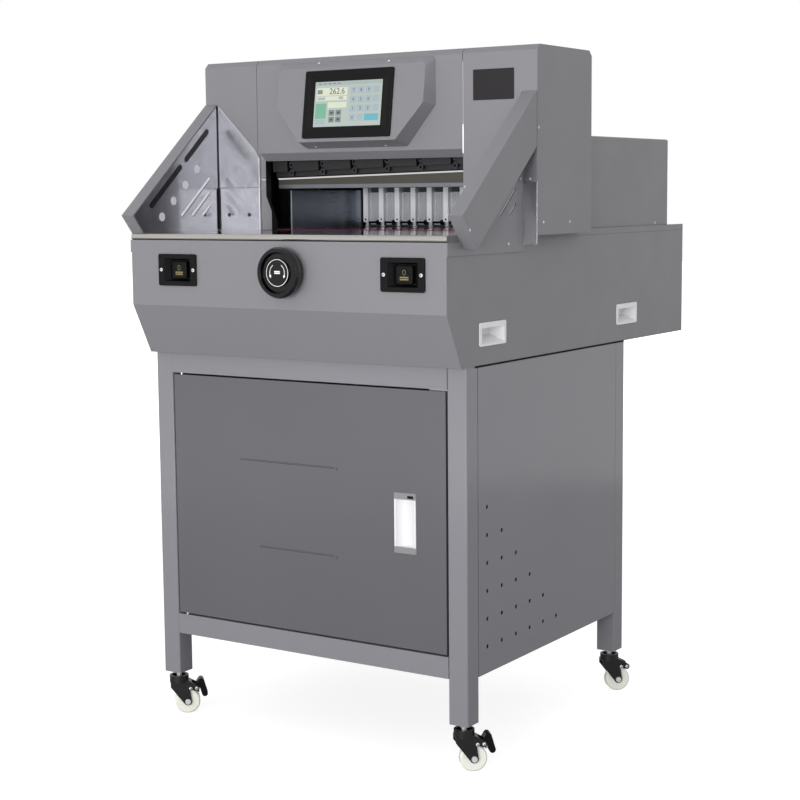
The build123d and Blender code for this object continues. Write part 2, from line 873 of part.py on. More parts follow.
# Knob: a bevelled rim, a dish and a flat cap, turned about the shaft that carries it
knob_front_y = console_front - knob_gap - knob_thickness
knob_shaft_end = console_front + knob_shaft_length
knob_plane = Plane(origin=(controls_middle_x, knob_front_y, controls_z), x_dir=(1, 0, 0), z_dir=(0, 0, 1))
with BuildPart() as knob:
    with BuildSketch(knob_plane):
        with BuildLine():
            Polyline(
                (knob_radius - 3 * knob_rim / 2, 0),
                (knob_radius - 2 * knob_rim, knob_rim),
                (knob_cap_radius, knob_rim),
                (knob_cap_radius, knob_cap_recess),
                (0, knob_cap_recess),
                (0, knob_shaft_end - knob_front_y),
                (knob_shaft_radius, knob_shaft_end - knob_front_y),
                (knob_shaft_radius, knob_thickness),
                (knob_radius - knob_taper, knob_thickness),
                (knob_radius, knob_rim),
                (knob_radius - knob_rim / 2, 0),
                close=True,
            )
        make_face()
    revolve(axis=Axis((controls_middle_x, knob_front_y, controls_z), (0, 1, 0)))
knob.part.label = "knob"
export_step(knob.part, "parts/knob.step")

# Encoder behind the front cover, with a bearing for the knob's shaft
with BuildPart() as knob_encoder:
    with BuildSketch(across(console_front + console_sheet)):
        with Locations((controls_middle_x, controls_z)):
            Rectangle(encoder_side, encoder_side)
            Circle(knob_shaft_radius + running_gap, mode=Mode.SUBTRACT)
    extrude(amount=-encoder_depth)
knob_encoder.part.label = "knob_encoder"
export_step(knob_encoder.part, "parts/knob_encoder.step")

# Machine frame: two cheeks that stand on the base pan, each with a window in which the knife's guide runs
cheek_front = head_front + guard_sheet
cheek_rear = head_rear - cheek_rear_gap
cheek_depth = cheek_rear - cheek_front
cheek_foot = stand_top + console_sheet
window_front = cheek_front + cheek_land
window_rear = window_front + window_depth
window_foot = table_top + window_rise
window_top = cheek_top - window_top_land
window_chamfer_foot = table_top + window_chamfer_low
window_chamfer_top = table_top + window_chamfer_high
with BuildPart() as frame_cheeks:
    for x in (throat_left - cheek_thickness, throat_right):
        with BuildSketch(along(x)):
            with Locations((cheek_front + cheek_depth / 2, (cheek_foot + cheek_top) / 2)):
                Rectangle(cheek_depth, cheek_top - cheek_foot)
            with BuildLine():
                Polyline(
                    (window_front, window_top),
                    (window_front, window_chamfer_top),
                    (window_front + window_chamfer_width, window_chamfer_foot),
                    (window_front + window_chamfer_width, window_foot),
                    (window_rear, window_foot),
                    (window_rear, window_top),
                    close=True,
                )
            make_face(mode=Mode.SUBTRACT)
        extrude(amount=cheek_thickness)
frame_cheeks.part.label = "frame_cheeks"
export_step(frame_cheeks.part, "parts/frame_cheeks.step")

# Front table, notched round the cheeks and grooved for the cutting stick
stick_front = head_front + stick_setback
table_split = stick_front + stick_width + stick_land
cheek_places = (throat_left - cheek_thickness / 2, throat_right + cheek_thickness / 2)
notch_width = cheek_thickness + 2 * fit_gap
notch_front = cheek_front - fit_gap
with BuildPart() as front_table:
    with BuildSketch(Plane.XY.offset(console_top)):
        with Locations((0, (console_front + table_split) / 2)):
            Rectangle(stand_width, table_split - console_front)
        with Locations(*[(x, (notch_front + table_split) / 2) for x in cheek_places]):
            Rectangle(notch_width, table_split - notch_front, mode=Mode.SUBTRACT)
    extrude(amount=table_thickness)
    fillet(front_table.faces().sort_by(Axis.Y)[0].edges().filter_by(Axis.X), table_front_edge)
    with BuildSketch(Plane.XY.offset(table_top)):
        with Locations((throat_middle, stick_front + stick_width / 2)):
            Rectangle(throat_width, stick_width)
    extrude(amount=stick_proud - stick_height, mode=Mode.SUBTRACT)
front_table.part.label = "front_table"
export_step(front_table.part, "parts/front_table.step")

with BuildPart() as cutting_stick:
    with BuildSketch(Plane.XY.offset(table_top + stick_proud)):
        with Locations((throat_middle, stick_front + stick_width / 2)):
            Rectangle(throat_width, stick_width)
    extrude(amount=-stick_height)
cutting_stick.part.label = "cutting_stick"
export_step(cutting_stick.part, "parts/cutting_stick.step")

# Rear table, notched round the cheeks and slotted for the back gauge's neck
gauge_face_y = head_front + gauge_rest_setback
gauge_back_y = gauge_face_y + finger_depth
neck_y = gauge_back_y + gauge_back_depth / 2
gauge_slot_front = neck_y - gauge_neck_depth / 2 - gauge_forward_travel - gauge_slot_over
bracket_rear = console_rear - console_sheet - gauge_motor_gap - gauge_motor_length - bracket_thickness
gauge_slot_rear = bracket_rear - bracket_rear_gap
gauge_back_travel = gauge_slot_rear - gauge_slot_over - gauge_neck_depth / 2 - neck_y
notch_rear = cheek_rear + fit_gap
with BuildPart() as rear_table:
    with BuildSketch(Plane.XY.offset(console_top)):
        with Locations((0, (table_split + console_rear) / 2)):
            Rectangle(stand_width, console_rear - table_split)
        with Locations(*[(x, (table_split + notch_rear) / 2) for x in cheek_places]):
            Rectangle(notch_width, notch_rear - table_split, mode=Mode.SUBTRACT)
        with Locations((throat_middle, (gauge_slot_front + gauge_slot_rear) / 2)):
            Rectangle(gauge_slot_width, gauge_slot_rear - gauge_slot_front, mode=Mode.SUBTRACT)
    extrude(amount=table_thickness)
    fillet(rear_table.faces().sort_by(Axis.Y)[-1].edges().group_by(Axis.Z)[-1], table_rear_edge)
rear_table.part.label = "rear_table"
export_step(rear_table.part, "parts/rear_table.step")

# Side guides of the rear table
hood_depth = console_rear - hood_end_gap - head_rear
guide_front = head_front + guide_front_setback
guide_length = head_rear + hood_depth - hood_sheet - guide_end_gap - guide_front
with BuildPart() as side_guides:
    for x in (throat_left, throat_right - guide_thickness):
        with BuildSketch(along(x)):
            with Locations((guide_front + guide_length / 2, table_top + guide_height / 2)):
                Rectangle(guide_length, guide_height)
        extrude(amount=guide_thickness)
side_guides.part.label = "side_guides"
export_step(side_guides.part, "parts/side_guides.step")

# Back gauge: a ribbed angle that spans the table, with a neck through the slot to a carriage below
rail_z = console_top - rail_drop
gauge_foot = table_top + gauge_lift
gauge_width = throat_width - 2 * (guide_thickness + gauge_side_gap)
finger_pitch = (gauge_width - finger_width) / (finger_count - 1)
gauge_rear_y = gauge_back_y + gauge_back_depth
with BuildPart() as gauge_body:
    with BuildSketch(along(throat_middle - gauge_width / 2)):
        with BuildLine():
            Polyline(
                (gauge_back_y, gauge_foot),
                (gauge_rear_y, gauge_foot),
                (gauge_rear_y, gauge_foot + gauge_wall),
                (gauge_back_y + gauge_wall, gauge_foot + gauge_wall),
                (gauge_back_y + gauge_wall, gauge_foot + gauge_height),
                (gauge_back_y, gauge_foot + gauge_height),
                close=True,
            )
        make_face()
    extrude(amount=gauge_width)
    for step in range(finger_count):
        rib_x = throat_middle + (step - (finger_count - 1) / 2) * finger_pitch
        with BuildSketch(along(rib_x - gauge_wall / 2)):
            with BuildLine():
                Polyline(
                    (gauge_back_y + gauge_wall, gauge_foot + gauge_wall),
                    (gauge_rear_y, gauge_foot + gauge_wall),
                    (gauge_back_y + gauge_wall, gauge_foot + gauge_height),
                    close=True,
                )
            make_face()
        extrude(amount=gauge_wall)
    with BuildSketch(Plane.XY.offset(gauge_foot)):
        with Locations((throat_middle, neck_y)):
            Rectangle(gauge_neck, gauge_neck_depth)
    extrude(amount=rail_z - gauge_foot)
    with BuildSketch(across(neck_y - gauge_neck_depth / 2)):
        with Locations((throat_middle, rail_z)):
            Rectangle(2 * carriage_half_width, carriage_height)
    extrude(amount=-gauge_neck_depth)
    with BuildSketch(across(neck_y - gauge_neck_depth / 2)):
        with Locations((throat_middle - rail_spread, rail_z), (throat_middle + rail_spread, rail_z)):
            Circle(rail_radius + running_gap)
        with Locations((throat_middle, rail_z)):
            Circle(screw_radius + running_gap)
    extrude(amount=-gauge_neck_depth, mode=Mode.SUBTRACT)
gauge_body.part.label = "gauge_body"
export_step(gauge_body.part, "parts/gauge_body.step")

# Fingers on the gauge's face, each with a narrow neck over a broad foot
with BuildPart() as gauge_fingers:
    for step in range(finger_count):
        finger_x = throat_middle + (step - (finger_count - 1) / 2) * finger_pitch
        with BuildSketch(across(gauge_back_y)):
            with Locations((finger_x, gauge_foot + finger_foot / 2)):
                Rectangle(finger_width, finger_foot)
            with Locations((finger_x, gauge_foot + finger_foot + finger_neck_height / 2)):
                Rectangle(finger_neck_width, finger_neck_height)
            with Locations((finger_x, gauge_foot + (finger_height + finger_foot + finger_neck_height) / 2)):
                Rectangle(finger_width, finger_height - finger_foot - finger_neck_height)
        extrude(amount=finger_depth)
    upper_edges = gauge_fingers.faces().sort_by(Axis.Y)[:finger_count].edges().filter_by(Axis.X)
    chamfer(upper_edges.group_by(Axis.Z)[-1], finger_depth / 3)
gauge_fingers.part.label = "gauge_fingers"
export_step(gauge_fingers.part, "parts/gauge_fingers.step")

# Two guide rods in two brackets under the rear table
bracket_front = gauge_slot_front - bracket_front_gap - bracket_thickness
rail_places = [(throat_middle + side * rail_spread, rail_z) for side in (-1, 1)]
with BuildPart() as gauge_rails:
    for y in (bracket_front, bracket_rear):
        with BuildSketch(across(y)) as bracket_outline:
            with Locations((throat_middle, console_top - bracket_height / 2)):
                Rectangle(2 * bracket_half_width, bracket_height)
            fillet(bracket_outline.vertices().group_by(Axis.Y)[0], bracket_fillet)
            with Locations(*rail_places):
                Circle(rail_radius + running_gap, mode=Mode.SUBTRACT)
            with Locations((throat_middle, rail_z)):
                Circle(journal_radius + running_gap, mode=Mode.SUBTRACT)
        extrude(amount=-bracket_thickness)
    with BuildSketch(across(bracket_front)):
        with Locations(*rail_places):
            Circle(rail_radius)
    extrude(amount=bracket_front - bracket_rear - bracket_thickness)
gauge_rails.part.label = "gauge_rails"
export_step(gauge_rails.part, "parts/gauge_rails.step")

# Lead screw between the brackets, with a journal at each end
screw_front = bracket_front + bracket_thickness + fit_gap
screw_rear = bracket_rear - fit_gap
with BuildPart() as lead_screw:
    with BuildSketch(across(screw_front)):
        with Locations((throat_middle, rail_z)):
            Circle(screw_radius)
    extrude(amount=screw_front - screw_rear)
    with BuildSketch(across(bracket_front)):
        with Locations((throat_middle, rail_z)):
            Circle(journal_radius)
    extrude(amount=bracket_front - bracket_rear - bracket_thickness + fit_gap)
lead_screw.part.label = "lead_screw"
export_step(lead_screw.part, "parts/lead_screw.step")

# Drive motors: the main motor with its gearbox on the base pan, and the gauge motor on the rear bracket
motor_y = stand_front + motor_setback
motor_z = cheek_foot + gearbox_height / 2
motor_face = motor_x + gearbox_width / 2
with BuildPart() as drive_motors:
    with BuildSketch(Plane.XY.offset(cheek_foot)):
        with Locations((motor_x, motor_y)):
            RectangleRounded(gearbox_width, gearbox_depth, gearbox_edge)
    extrude(amount=gearbox_height)
    with BuildSketch(along(motor_face)):
        with Locations((motor_y, motor_z)):
            Circle(motor_radius - motor_fin)
            with PolarLocations(motor_radius - motor_fin, motor_fin_count):
                Rectangle(2 * motor_fin, motor_fin)
    extrude(amount=motor_length)
    with BuildSketch(across(bracket_rear + bracket_thickness)):
        with Locations((throat_middle, rail_z)):
            Rectangle(gauge_motor_side, gauge_motor_side)
    extrude(amount=-gauge_motor_length)
drive_motors.part.label = "drive_motors"
export_step(drive_motors.part, "parts/drive_motors.step")

# Crossbeam between the cheeks, a channel open to the front, bored for the clamp's rods
clamp_front = head_front + clamp_setback
clamp_middle_y = clamp_front + clamp_depth / 2
beam_middle_z = beam_foot + beam_height / 2
rod_places = [(x, clamp_middle_y) for x in (throat_left + clamp_rod_inset, throat_right - clamp_rod_inset)]
with BuildPart() as crossbeam:
    with BuildSketch(along(throat_left)):
        with Locations((clamp_front + beam_depth / 2, beam_middle_z)):
            Rectangle(beam_depth, beam_height)
        with Locations((clamp_front + (beam_depth - beam_wall) / 2, beam_middle_z)):
            Rectangle(beam_depth - beam_wall, beam_height - 2 * beam_wall, mode=Mode.SUBTRACT)
    extrude(amount=throat_width)
    with BuildSketch(Plane.XY.offset(beam_foot)):
        with Locations(*rod_places):
            Circle(clamp_rod_radius + running_gap)
    extrude(amount=beam_height, mode=Mode.SUBTRACT)
crossbeam.part.label = "crossbeam"
export_step(crossbeam.part, "parts/crossbeam.step")

# Clamp bar hung on two rods that slide in the crossbeam
clamp_width = throat_width - 2 * clamp_end_gap
rod_top = beam_foot + beam_height + clamp_rod_over_beam
with BuildPart() as clamp:
    with BuildSketch(along(throat_middle - clamp_width / 2)) as clamp_outline:
        with Locations((clamp_middle_y, clamp_foot + clamp_height / 2)):
            Rectangle(clamp_depth, clamp_height)
        chamfer(clamp_outline.vertices().group_by(Axis.Y)[0], clamp_edge)
    extrude(amount=clamp_width)
    with BuildSketch(Plane.XY.offset(clamp_foot + clamp_height)):
        with Locations(*rod_places):
            Circle(clamp_rod_radius)
    extrude(amount=rod_top - clamp_foot - clamp_height)
clamp.part.label = "clamp"
export_step(clamp.part, "parts/clamp.step")

# Knife carrier, drawn in planes that lean with the resting edge. Their origin is at the guide block's pin.
tilt = radians(knife_tilt)
pin_x = throat_left + block_pin_inset
pin_z = knife_edge_left + block_pin_over_edge / cos(tilt) + block_pin_inset * sin(tilt) / cos(tilt)
carrier_front = head_front + carrier_setback
knife_front = carrier_front + carrier_thickness
knife_rear = knife_front + knife_thickness
block_front = knife_front + slide_gap
block_rear = window_rear - slide_gap
knife_stroke = pin_z - block_pin_over_edge - table_top - stick_proud - knife_stop_gap
carrier_left = throat_left + carrier_end_gap / 2 - pin_x
carrier_right = throat_right - carrier_end_gap - pin_x
edge_y = -block_pin_over_edge
carrier_foot = edge_y + carrier_over_edge
carrier_crown = carrier_foot + carrier_height
knife_crown = edge_y + knife_height
bolt_middle = throat_middle - pin_x
bolt_pitch = (throat_width - 2 * bolt_end) / (bolt_count - 1)
shoulder_x = carrier_right + cheek_thickness / 2
shoulder_y = (knife_crown + carrier_crown) / 2


# Upright plane along the knife's edge at a given depth. Its y is nought at the height of the pin.
def leaning(y):
    return Plane(origin=(pin_x, y, pin_z), x_dir=(cos(tilt), 0, sin(tilt)), z_dir=(0, -1, 0))


with BuildPart() as knife_carrier:
    with BuildSketch(leaning(carrier_front)):
        with Locations(((carrier_left + carrier_right) / 2, (carrier_foot + carrier_crown) / 2)):
            Rectangle(carrier_right - carrier_left, carrier_height)
        with Locations((shoulder_x, shoulder_y)):
            Rectangle(cheek_thickness, carrier_crown - knife_crown)
        with Locations((bolt_middle, edge_y + (carrier_over_edge + slot_over_edge) / 2)):
            with GridLocations(bolt_pitch, bolt_pitch, bolt_count, 1):
                Rectangle(
                    2 * (bolt_radius + slot_margin), slot_over_edge - carrier_over_edge, mode=Mode.SUBTRACT
                )
        Circle(block_pin_radius + running_gap, mode=Mode.SUBTRACT)
    extrude(amount=-carrier_thickness)
    with BuildSketch(leaning(knife_front)):
        with Locations((shoulder_x + carrier_end_gap, shoulder_y)):
            Rectangle(cheek_thickness - 2 * carrier_end_gap, carrier_crown - knife_crown)
    extrude(amount=knife_front - block_rear)
knife_carrier.part.label = "knife_carrier"
export_step(knife_carrier.part, "parts/knife_carrier.step")

# Knife, bevelled towards the front
knife_section = Plane(origin=(pin_x, 0, pin_z), x_dir=(0, 1, 0), z_dir=(cos(tilt), 0, sin(tilt)))
with BuildPart() as knife:
    with BuildSketch(knife_section.offset(carrier_left)):
        with BuildLine():
            Polyline(
                (knife_rear, edge_y),
                (knife_rear, knife_crown),
                (knife_front, knife_crown),
                (knife_front, edge_y + knife_bevel),
                close=True,
            )
        make_face()
    extrude(amount=carrier_right - carrier_left)
knife.part.label = "knife"
export_step(knife.part, "parts/knife.step")

# Socket bolts on the knife's face, two in each slot of the carrier
bolt_rises = (bolt_low_over_edge, bolt_high_over_edge)
with BuildPart() as knife_bolts:
    for rise in bolt_rises:
        with BuildSketch(leaning(knife_front)):
            with Locations((bolt_middle, edge_y + rise)):
                with GridLocations(bolt_pitch, bolt_pitch, bolt_count, 1):
                    Circle(bolt_radius)
        extrude(amount=bolt_head)
        with BuildSketch(leaning(knife_front - bolt_head)):
            with Locations((bolt_middle, edge_y + rise)):
                with GridLocations(bolt_pitch, bolt_pitch, bolt_count, 1):
                    RegularPolygon(bolt_socket, 6)
        extrude(amount=-bolt_head / 2, mode=Mode.SUBTRACT)
knife_bolts.part.label = "knife_bolts"
export_step(knife_bolts.part, "parts/knife_bolts.step")

# Guide block in the left cheek's window, with a tongue behind the carrier and the pin that it swings on
with BuildPart() as knife_block:
    with BuildSketch(across(block_front)):
        with Locations((throat_left - cheek_thickness / 2, pin_z)):
            Rectangle(cheek_thickness - 2 * fit_gap, block_height)
    extrude(amount=block_front - block_rear)
    with BuildSketch(across(block_front)):
        with Locations((throat_left - fit_gap + tongue_length / 2, pin_z)):
            Rectangle(tongue_length, tongue_height)
    extrude(amount=-tongue_thickness)
    with BuildSketch(across(block_front)):
        with Locations((pin_x, pin_z)):
            Circle(block_pin_radius)
    extrude(amount=block_front - carrier_front)
knife_block.part.label = "knife_block"
export_step(knife_block.part, "parts/knife_block.step")


# Side view of the head: upright walls under a top with a chamfer at the front and at the back
def head_outline():
    Polygon(
        (head_front, head_foot),
        (head_front, head_top - head_chamfer),
        (head_front + head_chamfer, head_top),
        (head_rear - head_chamfer, head_top),
        (head_rear, head_top - head_chamfer),
        (head_rear, head_foot),
        align=None,
    )


# Pillar covers, sheet shells open at the foot and towards the middle
cover_left = cover_seam_left - seam_gap / 2
cover_right = cover_seam_right + seam_gap / 2
notch_half = half_width + fit_gap
guide_way = throat_right + fit_gap
with BuildPart() as pillar_cover_left:
    with BuildSketch(along(-head_half_width)):
        head_outline()
    extrude(amount=cover_left + head_half_width)
    inner_face = pillar_cover_left.faces().sort_by(Axis.X)[-1]
    offset(amount=-head_sheet, openings=[pillar_cover_left.faces().sort_by(Axis.Z)[0], inner_face])
    with BuildSketch(across(head_front)):
        with Locations(((cover_left - notch_half) / 2, (head_foot + table_top) / 2)):
            Rectangle(cover_left + notch_half, table_top - head_foot)
    extrude(amount=-head_depth, mode=Mode.SUBTRACT)
pillar_cover_left.part.label = "pillar_cover_left"
export_step(pillar_cover_left.part, "parts/pillar_cover_left.step")

with BuildPart() as pillar_cover_right:
    with BuildSketch(along(head_half_width)):
        head_outline()
    extrude(amount=cover_right - head_half_width)
    inner_face = pillar_cover_right.faces().sort_by(Axis.X)[0]
    offset(amount=-head_sheet, openings=[pillar_cover_right.faces().sort_by(Axis.Z)[0], inner_face])
    with BuildSketch(across(head_front)):
        with Locations(((cover_right + notch_half) / 2, (head_foot + table_top) / 2)):
            Rectangle(notch_half - cover_right, table_top - head_foot)
    extrude(amount=-head_depth, mode=Mode.SUBTRACT)
    with BuildSketch(across(head_rear)):
        with Locations(((cover_right + guide_way) / 2, table_top + (guide_height + fit_gap) / 2)):
            Rectangle(guide_way - cover_right, guide_height + fit_gap)
    extrude(amount=head_sheet, mode=Mode.SUBTRACT)
pillar_cover_right.part.label = "pillar_cover_right"
export_step(pillar_cover_right.part, "parts/pillar_cover_right.step")

# Middle cover over the knife, with a lip that slants in under its front
middle_left = cover_seam_left + seam_gap / 2
middle_right = cover_seam_right - seam_gap / 2
middle_width = middle_right - middle_left
cover_foot_z = table_top + cover_foot
hood_top = table_top + hood_height
with BuildPart() as head_cover:
    with BuildSketch(along(middle_left)):
        head_outline()
    extrude(amount=middle_width)
    side_faces = head_cover.faces().filter_by(Axis.X)
    offset(amount=-head_sheet, openings=[head_cover.faces().sort_by(Axis.Z)[0], *side_faces])
    with BuildSketch(along(middle_left)):
        with Locations((head_front + head_depth / 4, (head_foot + cover_foot_z) / 2)):
            Rectangle(head_depth / 2, cover_foot_z - head_foot)
        with Locations((head_rear - head_depth / 4, (head_foot + hood_top) / 2)):
            Rectangle(head_depth / 2, hood_top - head_foot)
    extrude(amount=middle_width, mode=Mode.SUBTRACT)
    with BuildSketch(along(throat_left + fit_gap)):
        with BuildLine():
            Polyline(
                (head_front, cover_foot_z),
                (head_front + lip_depth, cover_foot_z - lip_height),
                (head_front + lip_depth + head_sheet, cover_foot_z - lip_height),
                (head_front + head_sheet, cover_foot_z),
                close=True,
            )
        make_face()
    extrude(amount=middle_right - throat_left - fit_gap)
head_cover.part.label = "head_cover"
export_step(head_cover.part, "parts/head_cover.step")

# Rear hood over the back gauge, open below and towards the head
with BuildPart() as rear_hood:
    with BuildSketch(Plane.XY.offset(table_top)):
        with Locations((0, head_rear + hood_depth / 2)):
            Rectangle(2 * (half_width - hood_inset), hood_depth)
    extrude(amount=hood_height)
    rounded = rear_hood.edges().group_by(Axis.Z)[-1].filter_by(Axis.Y)
    rounded += rear_hood.faces().sort_by(Axis.Y)[-1].edges().group_by(Axis.Z)[-1]
    rounded += rear_hood.faces().sort_by(Axis.Y)[-1].edges().filter_by(Axis.Z)
    fillet(rounded, hood_edge)
    offset(
        amount=-hood_sheet,
        openings=[rear_hood.faces().sort_by(Axis.Z)[0], rear_hood.faces().sort_by(Axis.Y)[0]],
    )
rear_hood.part.label = "rear_hood"
export_step(rear_hood.part, "parts/rear_hood.step")

# Screen pod: a lofted housing that narrows below its shoulders and leans back
pod_x = (cover_seam_left + cover_seam_right) / 2
lean = radians(pod_lean)
pod_base = Plane(origin=(pod_x, head_front, table_top + pod_foot), x_dir=(1, 0, 0), z_dir=(0, -1, 0))


# Plane of the pod's face, with its origin a given way up the face from its lower edge
def pod_face(rise):
    y = head_front - pod_face_proud + rise * sin(lean)
    z = table_top + pod_face_foot + rise * cos(lean)
    return Plane(origin=(pod_x, y, z), x_dir=(1, 0, 0), z_dir=(0, -cos(lean), sin(lean)))


# The pod's outline, from the middle of its lower edge
def pod_outline(inset):
    Polygon(
        (-pod_half_foot, 0),
        (pod_half_foot, 0),
        (pod_half_width, pod_shoulder - pod_foot),
        (pod_half_width, pod_top - pod_foot),
        (-pod_half_width, pod_top - pod_foot),
        (-pod_half_width, pod_shoulder - pod_foot),
        align=None,
    )
    if inset:
        offset(amount=-inset)


with BuildPart() as screen_pod:
    with BuildSketch(pod_base) as base_outline:
        pod_outline(0)
        fillet(base_outline.vertices(), pod_corner)
    with BuildSketch(pod_face(-pod_inset)) as face_outline:
        pod_outline(pod_inset)
        fillet(face_outline.vertices(), pod_corner)
    loft()
    with BuildSketch(pod_face(bezel_over_face_foot)):
        Rectangle(case_width + 2 * case_gap, case_height + 2 * case_gap)
    extrude(amount=-case_depth, mode=Mode.SUBTRACT)
screen_pod.part.label = "screen_pod"
export_step(screen_pod.part, "parts/screen_pod.step")

# Screen bezel with the display's case behind it
screen_plane = pod_face(bezel_over_face_foot)
with BuildPart() as screen_bezel:
    with BuildSketch(screen_plane):
        RectangleRounded(bezel_width, bezel_height, bezel_corner)
    extrude(amount=bezel_thickness)
    with BuildSketch(screen_plane):
        Rectangle(case_width, case_height)
    extrude(amount=case_gap - case_depth)
    with BuildSketch(screen_plane.offset(bezel_thickness)):
        Rectangle(screen_width, screen_height)
    extrude(amount=-screen_recess - screen_sheet, mode=Mode.SUBTRACT)
screen_bezel.part.label = "screen_bezel"
export_step(screen_bezel.part, "parts/screen_bezel.step")

with BuildPart() as screen_glass:
    with BuildSketch(screen_plane.offset(bezel_thickness - screen_recess)):
        Rectangle(screen_width, screen_height)
    extrude(amount=-screen_sheet)
screen_glass.part.label = "screen_glass"
export_step(screen_glass.part, "parts/screen_glass.step")

# Safety wings: a sheet beside the table with a slanting housing for the light curtain outside it
wing_nose_y = console_front + wing_nose_back
wing_rear = head_front - guard_sheet
wing_nose_z = table_top + wing_nose_rise
wing_top_z = table_top + guard_top
wing_skirt_z = console_top - wing_skirt_drop
wing_slope = atan2(wing_top_z - wing_nose_z, head_front - wing_nose_y)
wing_rise = sin(wing_slope) / cos(wing_slope)
wing_rear_top = wing_nose_z + (wing_rear - wing_nose_y) * wing_rise
louvre_foot_z = table_top + louvre_foot_rise
louvre_starts = [table_top + louvre_start_rise - step * louvre_drop for step in range(louvre_count)]
louvre_y = head_front - louvre_start_back


# A point on the wing, given by its way up the slanting front edge and its way in from that edge
def on_wing(way, inset):
    return (
        wing_nose_y + way * cos(wing_slope) + inset * sin(wing_slope),
        wing_nose_z + way * sin(wing_slope) - inset * cos(wing_slope),
    )


# Louvre slots, parallel to the front edge, for the wing's sheet and its liner
def louvre_slots():
    for start_z in louvre_starts:
        length = (start_z - louvre_foot_z) / sin(wing_slope)
        middle = (louvre_y - (start_z - louvre_foot_z) / wing_rise / 2, (start_z + louvre_foot_z) / 2)
        with Locations(middle):
            SlotOverall(length, louvre_width, rotation=degrees(wing_slope))


light_slots = [(light_first_start, light_first_length), (light_second_start, light_second_length)]


# Slots in the wing's inner face for the light curtain's windows
def window_slots():
    for start, length in light_slots:
        with Locations(on_wing(start + length / 2, light_inset)):
            SlotOverall(length, light_width, rotation=degrees(wing_slope))


strip_foot = on_wing(0, wing_strip)
strip_rear_z = strip_foot[1] + (wing_rear - strip_foot[0]) * wing_rise
for name, side in (("wing_left", -1), ("wing_right", 1)):
    with BuildPart() as wing:
        with BuildSketch(along(side * half_width)):
            with BuildLine():
                Polyline(
                    (console_front, wing_skirt_z),
                    (wing_rear, wing_skirt_z),
                    (wing_rear, wing_rear_top),
                    (wing_nose_y, wing_nose_z),
                    (wing_nose_y + (wing_nose_z - console_top) * wing_rise, console_top),
                    (console_front, console_top),
                    close=True,
                )
            make_face()
        extrude(amount=side * wing_sheet)
        with BuildSketch(along(side * (half_width + wing_sheet))):
            with BuildLine():
                Polyline(
                    (wing_nose_y, wing_nose_z),
                    strip_foot,
                    (wing_rear, strip_rear_z),
                    (wing_rear, wing_rear_top),
                    close=True,
                )
            make_face()
        extrude(amount=side * wing_thickness)
        with BuildSketch(along(side * half_width)):
            louvre_slots()
        extrude(amount=side * wing_sheet, mode=Mode.SUBTRACT)
        with BuildSketch(along(side * half_width)):
            window_slots()
        extrude(amount=side * light_depth, mode=Mode.SUBTRACT)
    wing.part.label = name
    export_step(wing.part, f"parts/{name}.step")

with BuildPart() as light_windows:
    with BuildSketch(along(half_width)):
        window_slots()
    extrude(amount=light_depth)
    mirror(about=Plane.YZ)
light_windows.part.label = "light_windows"
export_step(light_windows.part, "parts/light_windows.step")

# Polished plates: liners on the wings, kick plates at the pillars' feet and a corner plate at the left
guard_out = half_width - liner_sheet
liner_top = table_top + liner_height
kick_top = table_top + kick_height
kick_places = {
    "left": (-guard_out, throat_left - guard_reveal),
    "right": (throat_right + seam_gap, guard_out),
}
kick_outer = half_width + wing_sheet
tab_height = kick_height + kick_rise
tab_middle_x = (kick_outer + head_half_width) / 2


# Place from front to back, at a given height, of the liner's slanting edge
def liner_edge(z):
    return wing_nose_y + (z - wing_nose_z) / wing_rise + liner_inset / sin(wing_slope)


with BuildPart() as guard_plates:
    for side in (-1, 1):
        with BuildSketch(along(side * half_width)):
            with BuildLine():
                Polyline(
                    (liner_edge(table_top), table_top),
                    (wing_rear, table_top),
                    (wing_rear, liner_top),
                    (liner_edge(liner_top), liner_top),
                    close=True,
                )
            make_face()
        extrude(amount=-side * liner_sheet)
        with BuildSketch(along(side * half_width)):
            louvre_slots()
        extrude(amount=-side * liner_sheet, mode=Mode.SUBTRACT)
    for left_x, right_x in kick_places.values():
        with BuildSketch(across(head_front)):
            with Locations(((left_x + right_x) / 2, table_top + kick_height / 2)):
                Rectangle(right_x - left_x, kick_height)
        extrude(amount=guard_sheet)
    for side in (-1, 1):
        with BuildSketch(across(head_front)):
            with Locations((side * tab_middle_x, table_top + (tab_height - kick_drop) / 2)):
                Rectangle(head_half_width - kick_outer, tab_height + kick_drop)
        extrude(amount=guard_sheet)
    with BuildSketch(across(head_front)):
        with Locations(((throat_left - guard_reveal - guard_out) / 2, table_top + kick_hole_height)):
            with GridLocations(kick_hole_spacing, kick_hole_spacing, 2, 1):
                Circle(kick_hole_radius)
    extrude(amount=guard_sheet, mode=Mode.SUBTRACT)
    with BuildSketch(across(head_front)):
        with BuildLine():
            Polyline(
                (-guard_out, kick_top + seam_gap),
                (-guard_out, table_top + guard_top),
                (throat_left - guard_reveal - guard_step, table_top + guard_shoulder),
                (throat_left - guard_reveal, table_top + guard_low),
                (throat_left - guard_reveal, kick_top + seam_gap),
                close=True,
            )
        make_face()
    extrude(amount=guard_sheet)
guard_plates.part.label = "guard_plates"
export_step(guard_plates.part, "parts/guard_plates.step")
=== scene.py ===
from math import cos, pi, radians, sin

import bmesh
import bpy
from mathutils import Matrix, Vector


